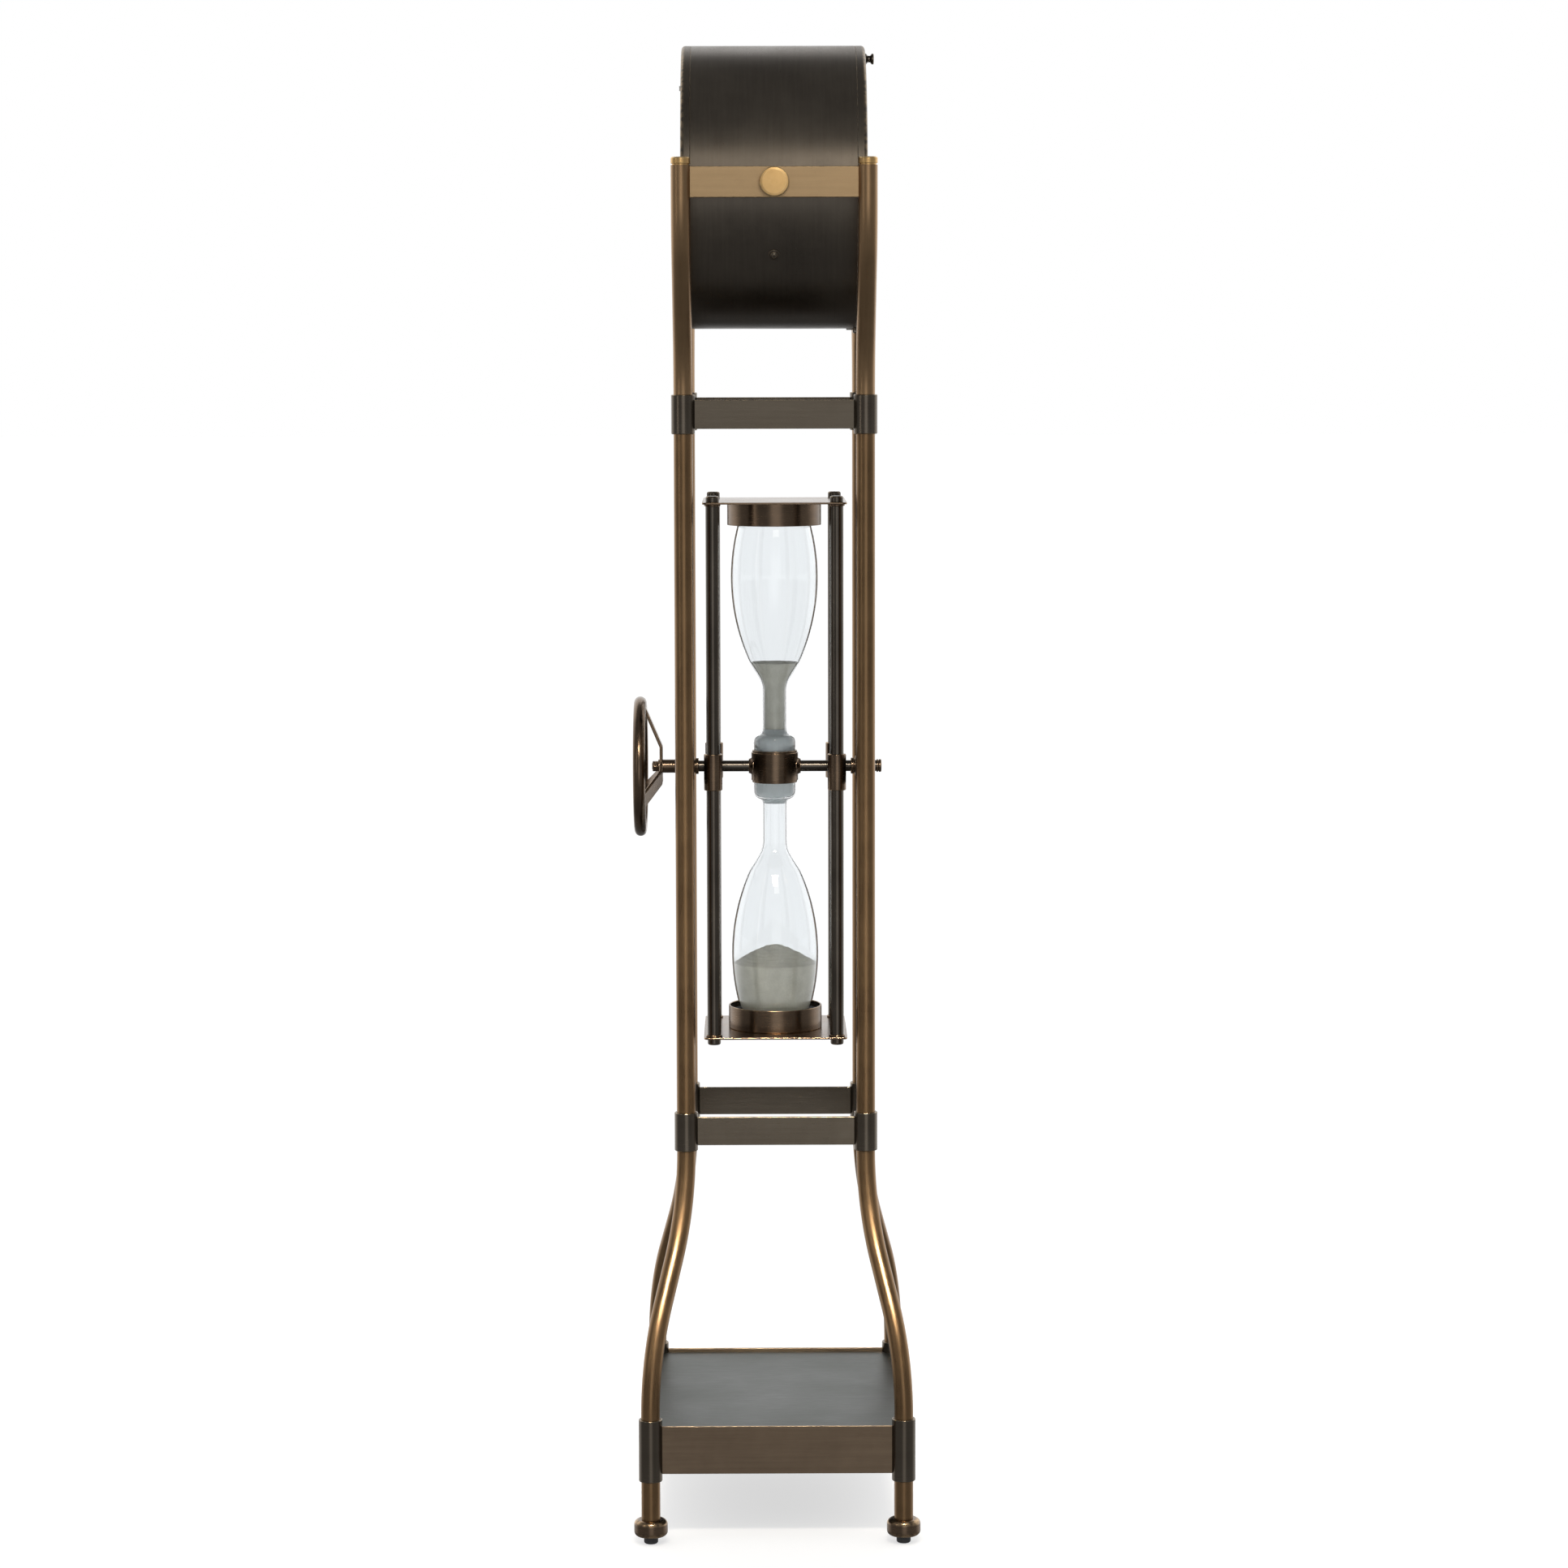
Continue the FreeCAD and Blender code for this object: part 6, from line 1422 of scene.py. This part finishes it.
        show("cap_nuts", self.corners(nut, self.ends), GUNMETAL, "hourglass", "rod_nuts", Brush.ROUND)
        outline, wear = rounded(box_corners(plates.size[0] / 2, plates.size[0] / 2, 0.006), 10)
        plate = prism(outline, inner, inner + self.plate_thick, 0.0006, wear)
        show("square_plates", self.both(plate), COPPER_BRONZE, "hourglass", "end_plates", Brush.LENGTH)
        cross = Extent.of("cross_bars")
        bar = prism(bar_plan(self.rod_half, 0.007, self.rod_collar + FIT), -cross.size[2] / 2,
                    cross.size[2] / 2, 0.001)
        pair = [bar.placed(self.middle + np.array([self.rod_half * side, 0, 0]), turn=math.pi / 2)
                for side in (-1, 1)]
        show("rod_bridges", joined(pair), GUNMETAL, "hourglass", "cross_bars", Brush.LENGTH)

    def cups(self) -> None:
        """Spun cups on the plates, with their rubber seats."""
        box = Extent.of("cups")
        base, radius, wall = box.high[2] - self.middle[2], box.size[0] / 2, 0.002
        rim, bore = base - 0.0294, radius - wall
        cup = turned([
            (0, base), (radius, base, 0.0012), (radius, rim, 0.0006), (bore, rim, 0.0006),
            (bore, base - wall, 0.002), (0, base - wall),
        ], 160)
        show("spun_cups", self.both(cup), COPPER_BRONZE, "hourglass", "cups", Brush.ROUND)
        floor, wide, hug = base - wall - FIT, bore - FACE_GAP, 0.049
        lip, dome = floor - 0.020, self.bulb_top + 0.0003
        seat = turned([(0, floor), (wide, floor, 0.0006), (wide, lip, 0.001), (hug, lip, 0.001),
                       (hug, dome, 0.001), (0, dome)], 128)
        show("rubber_seats", self.both(seat), RUBBER, "hourglass", "bulb_seats")

    def axle(self) -> None:
        """The two halves of the axle, and the cap on the front one."""
        end, inner = -Extent.of("axle").low[0], Extent.of("hub_ring").size[1] / 2 - 0.002
        back = turned([(0, inner), (AXLE, inner), (AXLE, self.axle_step), (AXLE_END, self.axle_step, 0.0003),
                       (AXLE_END, end, 0.0005), (0, end)], 48)
        cap = Extent.of("axle_cap")
        start = cap.low[0] - FIT
        stub = start + 0.004
        front = turned([(0, inner), (AXLE, inner), (AXLE, start), (AXLE_END, start), (AXLE_END, stub),
                        (0, stub)], 48)
        halves = [back.placed(self.middle, Facing.BACK), front.placed(self.middle, Facing.FRONT)]
        show("axle_halves", joined(halves), GUNMETAL, "hourglass", "axle", Brush.ALONG)
        wide, end, bore, floor = cap.size[2] / 2, cap.high[0], AXLE_END + FIT, start + 0.0042
        neck = wide - 0.0012
        button = turned([
            (bore, start + FIT), (wide, start + FIT, 0.0004), (wide, start + 0.0020, 0.0006),
            (neck, start + 0.0024, 0.0002), (neck, start + 0.0028, 0.0002), (wide, start + 0.0032, 0.0004),
            (wide, end, 0.0014), (0, end), (0, floor), (bore, floor),
        ], 64)
        show("axle_button", button.placed(self.middle, Facing.FRONT),
             COPPER_BRONZE, "hourglass", "axle_cap", Brush.ROUND)


# ------------------------------------------------------------------ handwheel

@dataclass
class Handwheel:
    """Round rim on three bent strips, a hub and a nut. Z runs along the axle, away from the glass."""

    section: float = 0.0079
    strip: tuple[float, float] = (0.022, 0.004)
    bend: float = 0.026
    plane: float = 0.145
    rise: float = 0.022
    hub: float = 0.0087
    end: float = 0.151
    step: float = 0.1492

    def build(self) -> None:
        """Builds and dresses the handwheel."""
        middle = np.array([0.0, 0.0, Extent.of("hub_ring").middle[2]])
        rim = Extent.of("handwheel_rim")
        ring, level = rim.size[2] / 2 - self.section, -rim.middle[0]
        angle = np.arange(40) * 2 * math.pi / 40
        line = np.stack([ring + self.section * np.cos(angle), level + self.section * np.sin(angle)], axis=1)
        show("wheel_rim", turned(line, 192).placed(middle, Facing.BACK),
             COPPER_BRONZE, "hourglass", "handwheel_rim", Brush.ROUND)
        spider = Extent.of("handwheel_spider")
        start, step = -spider.high[0], self.step
        wide, slim = AXLE + FIT, AXLE_END + FIT
        barrel = turned([(wide, start), (self.hub, start, 0.0008), (self.hub, self.end, 0.0008),
                         (slim, self.end), (slim, step), (wide, step)], 64)
        arms = [self.arm(ring).placed(middle, Facing.BACK, math.pi / 2 + k * math.tau / 3) for k in range(3)]
        show("wheel_spider", joined([barrel.placed(middle, Facing.BACK), *arms]),
             COPPER_BRONZE, "hourglass", "handwheel_spider")
        nut = Extent.of("handwheel_nut")
        corner = min(nut.size[1], nut.size[2]) / 2 / math.cos(math.pi / 6)
        spots = np.arange(6) * math.pi / 3
        outline, wear = rounded([(corner * math.cos(a), corner * math.sin(a), 0.0008) for a in spots], 4)
        hexagon = prism(outline, -nut.high[0], -nut.low[0], 0.0009, wear)
        show("wheel_nut", hexagon.placed(middle, Facing.BACK),
             COPPER_BRONZE, "hourglass", "handwheel_nut", Brush.ROUND, slot="steel_screw")

    def arm(self, ring: float) -> Skin:
        """A flat strip that leaves the hub level and then leans out to the rim.

        Its rows follow the strip's middle line, and each row is the strip's section with
        rounded edges, square to the line.
        """
        wide, thick = self.strip
        outer = self.plane + self.rise + 0.002
        corners = [(self.hub * 0.6, self.plane), (self.bend, self.plane, 0.008), (ring, outer)]
        line, _ = rounded([*corners, (ring, 1.0), (0, 1.0)], 9)
        line = line[:11]
        along = unit(np.gradient(line, axis=0))
        normal = np.stack([-along[:, 1], along[:, 0]], axis=1)
        edge = thick * 0.3
        section, wear = rounded([(-wide / 2, 0, edge), (wide / 2, 0, edge), (wide / 2, thick, edge),
                                 (-wide / 2, thick, edge)], 5)
        across = np.broadcast_to(section[:, 0], (len(line), len(section)))
        rows = np.stack([
            line[:, :1] + normal[:, :1] * section[:, 1],
            across,
            line[:, 1:] + normal[:, 1:] * section[:, 1],
        ], axis=-1)
        return Skin.grid(rows, np.broadcast_to(wear, across.shape), caps=True)


# ------------------------------------------------------------------ studio

@dataclass
class Studio:
    """Pale floor, soft lights and the camera."""

    camera_spot: tuple[float, float, float] = (-0.02718, -5.5147, 1.52526)
    yaw: float = 0.0071
    pitch: float = -0.1044
    roll: float = 0.0022
    lens: float = 98.16
    floor_half: float = 60.0

    def build(self) -> None:
        """Sets the stage."""
        self.camera()
        self.floor()
        self.lights()
        self.world()
        bpy.context.scene.view_settings.view_transform = "Standard"

    def camera(self) -> None:
        """Camera a little above the clock's middle, looking slightly down."""
        data = bpy.data.cameras.new("camera")
        data.lens = self.lens
        data.sensor_width = 36.0
        data.clip_end = 200.0
        item = bpy.data.objects.new("camera", data)
        bpy.context.scene.collection.objects.link(item)
        item.matrix_world = (
            Matrix.Translation(self.camera_spot)
            @ Matrix.Rotation(-self.yaw, 4, "Z")
            @ Matrix.Rotation(math.pi / 2 + self.pitch, 4, "X")
            @ Matrix.Rotation(-self.roll, 4, "Z")
        )
        bpy.context.scene.camera = item

    def floor(self) -> None:
        """A wide pale floor that metals don't mirror."""
        half = self.floor_half
        mesh = bpy.data.meshes.new("floor")
        mesh.from_pydata([(-half, -half, 0), (half, -half, 0), (half, half, 0), (-half, half, 0)], [],
                         [(0, 1, 2, 3)])
        graph = Graph("pale_floor")
        graph.set(Base_Color=paint((0.45, 0.45, 0.45)), Roughness=0.9, Specular_IOR_Level=0.0,
                  Emission_Color=paint((1, 1, 1)), Emission_Strength=0.6)
        mesh.materials.append(graph.material)
        floor = bpy.data.objects.new("floor", mesh)
        floor.visible_glossy = False
        bpy.context.scene.collection.objects.link(floor)

    def softbox(self, name: str, spot: tuple, aim: tuple, size: tuple[float, float], glow: float,
                colour: Colour = (1, 1, 1), spread: float = math.pi) -> None:
        """A rectangular soft light that faces its aim.

        Args:
            name: Name of the light.
            spot: Its middle.
            aim: Point that it faces.
            size: Its width and height.
            glow: Brightness of its face, where the white surroundings have 1.
            colour: Its colour.
            spread: Full angle of its cone.
        """
        data = bpy.data.lights.new(name, "AREA")
        data.spread = spread
        data.shape = "RECTANGLE"
        data.size, data.size_y = size
        data.energy = glow * math.pi * size[0] * size[1]
        data.color = colour
        lamp = bpy.data.objects.new(name, data)
        bpy.context.scene.collection.objects.link(lamp)
        direction = Vector(aim) - Vector(spot)
        lamp.rotation_euler = direction.to_track_quat("-Z", "Y").to_euler()
        lamp.location = spot
        lamp.visible_camera = False
        lamp.visible_transmission = False

    def lights(self) -> None:
        """Key above and in front, a narrow light down onto the legs, and a dim strip to the left."""
        self.softbox("key", (0.25, -2.6, 2.6), (0, 0, 1.1), (0.9, 0.7), 3.2, (1.0, 0.93, 0.82))
        self.softbox("leg_light", (0.0, -1.5, 1.9), (0, 0, 0.42), (1.3, 0.25), 4.2, (1.0, 0.92, 0.80),
                     math.radians(28))
        self.softbox("strip_left", (-2.3, -1.9, 1.6), (0, 0, 1.2), (0.3, 1.6), 1.6, (1.0, 0.95, 0.88))

    def world(self) -> None:
        """White surroundings that mirror as a dim room.

        In reflections a direction's brightness is a dim floor level, plus a bright wall behind
        the clock, plus a tall soft strip in front of it. Through glass the wall stays bright
        and darkens to the sides.
        """
        sky = Sky()
        across, deep, up = sky.axes()
        room = sky.sum("MULTIPLY", sky.fade(up, -1.0, -0.1, 0.16, 0.22), sky.fade(up, 0.2, 0.8, 1.0, 0.75))
        wall = sky.sum("MULTIPLY", sky.fade(deep, -0.05, 0.55), sky.window(up, -0.40, -0.15, 0.66, 0.76))
        off = sky.sum("ABSOLUTE", sky.sum("SUBTRACT", across, 0.07))
        strip = sky.sum("MULTIPLY", sky.fade(off, 0.14, 0.30, 1.0, 0.0),
                        sky.window(up, -0.40, -0.15, 0.05, 0.40))
        strip = sky.sum("MULTIPLY", strip, sky.fade(deep, -0.7, -0.5, 0.72, 0.0))
        right = sky.sum("MULTIPLY", sky.fade(across, 0.75, 0.98, 0.0, 0.08),
                        sky.window(up, -0.4, -0.1, 0.2, 0.6))
        glow = room
        for part in (wall, strip, right):
            glow = sky.sum("ADD", glow, part)
        through = sky.sum("ADD", sky.fade(deep, 0.1, 0.8, 0.25, 1.0), sky.fade(deep, -0.4, 0.0, 0.65, 0.0))
        sky.finish(glow, through)


class Sky(Nodes):
    """The world under construction."""

    def __init__(self) -> None:
        """Starts an empty world."""
        world = bpy.data.worlds.new("studio")
        world.use_nodes = True
        bpy.context.scene.world = world
        super().__init__(world.node_tree)
        self.nodes.clear()

    def axes(self) -> tuple:
        """The three parts of the direction that is looked at."""
        way = self.add("ShaderNodeTexCoord").outputs["Generated"]
        return tuple(self.add("ShaderNodeSeparateXYZ", _0=way).outputs)

    def fade(self, value: object, low: float, high: float, start: float = 0.0,
             end: float = 1.0) -> bpy.types.NodeSocket:
        """A value from low to high carried smoothly onto start to end."""
        return self.ramp(value, low, high, start, end, "SMOOTHSTEP")

    def window(self, value: object, first: float, second: float, third: float,
               fourth: float) -> bpy.types.NodeSocket:
        """1 between the second and third values, 0 outside the first and fourth."""
        rise, fall = self.fade(value, first, second), self.fade(value, third, fourth, 1.0, 0.0)
        return self.sum("MULTIPLY", rise, fall)

    def light(self, strength: object) -> bpy.types.NodeSocket:
        """White light of a strength."""
        return self.add("ShaderNodeBackground", Color=(1, 1, 1, 1), Strength=strength).outputs[0]

    def mix(self, share: object, first: object, second: object) -> bpy.types.NodeSocket:
        """Two lights mixed by a share."""
        return self.add("ShaderNodeMixShader", _0=share, _1=first, _2=second).outputs[0]

    def finish(self, mirrored: object, through: object) -> None:
        """White for the camera and for diffuse light, and the given strengths in metal and glass."""
        path = self.add("ShaderNodeLightPath").outputs
        undiffused = self.sum("LESS_THAN", path["Diffuse Depth"], 0.5)
        straight = self.sum("MULTIPLY", path["Is Transmission Ray"], undiffused)
        seen = self.mix(straight, self.light(1.0), self.light(through))
        self.add("ShaderNodeOutputWorld", Surface=self.mix(path["Is Glossy Ray"], seen, self.light(mirrored)))


# ------------------------------------------------------------------ making


def main() -> None:
    """Builds the studio and every sub-assembly, in order."""
    for part in (Studio(), Stand(), Drum(), Clock(), Hourglass(), Handwheel()):
        LOG.info("-- %s", type(part).__name__)
        part.build()


if __name__ == "__main__":
    main()
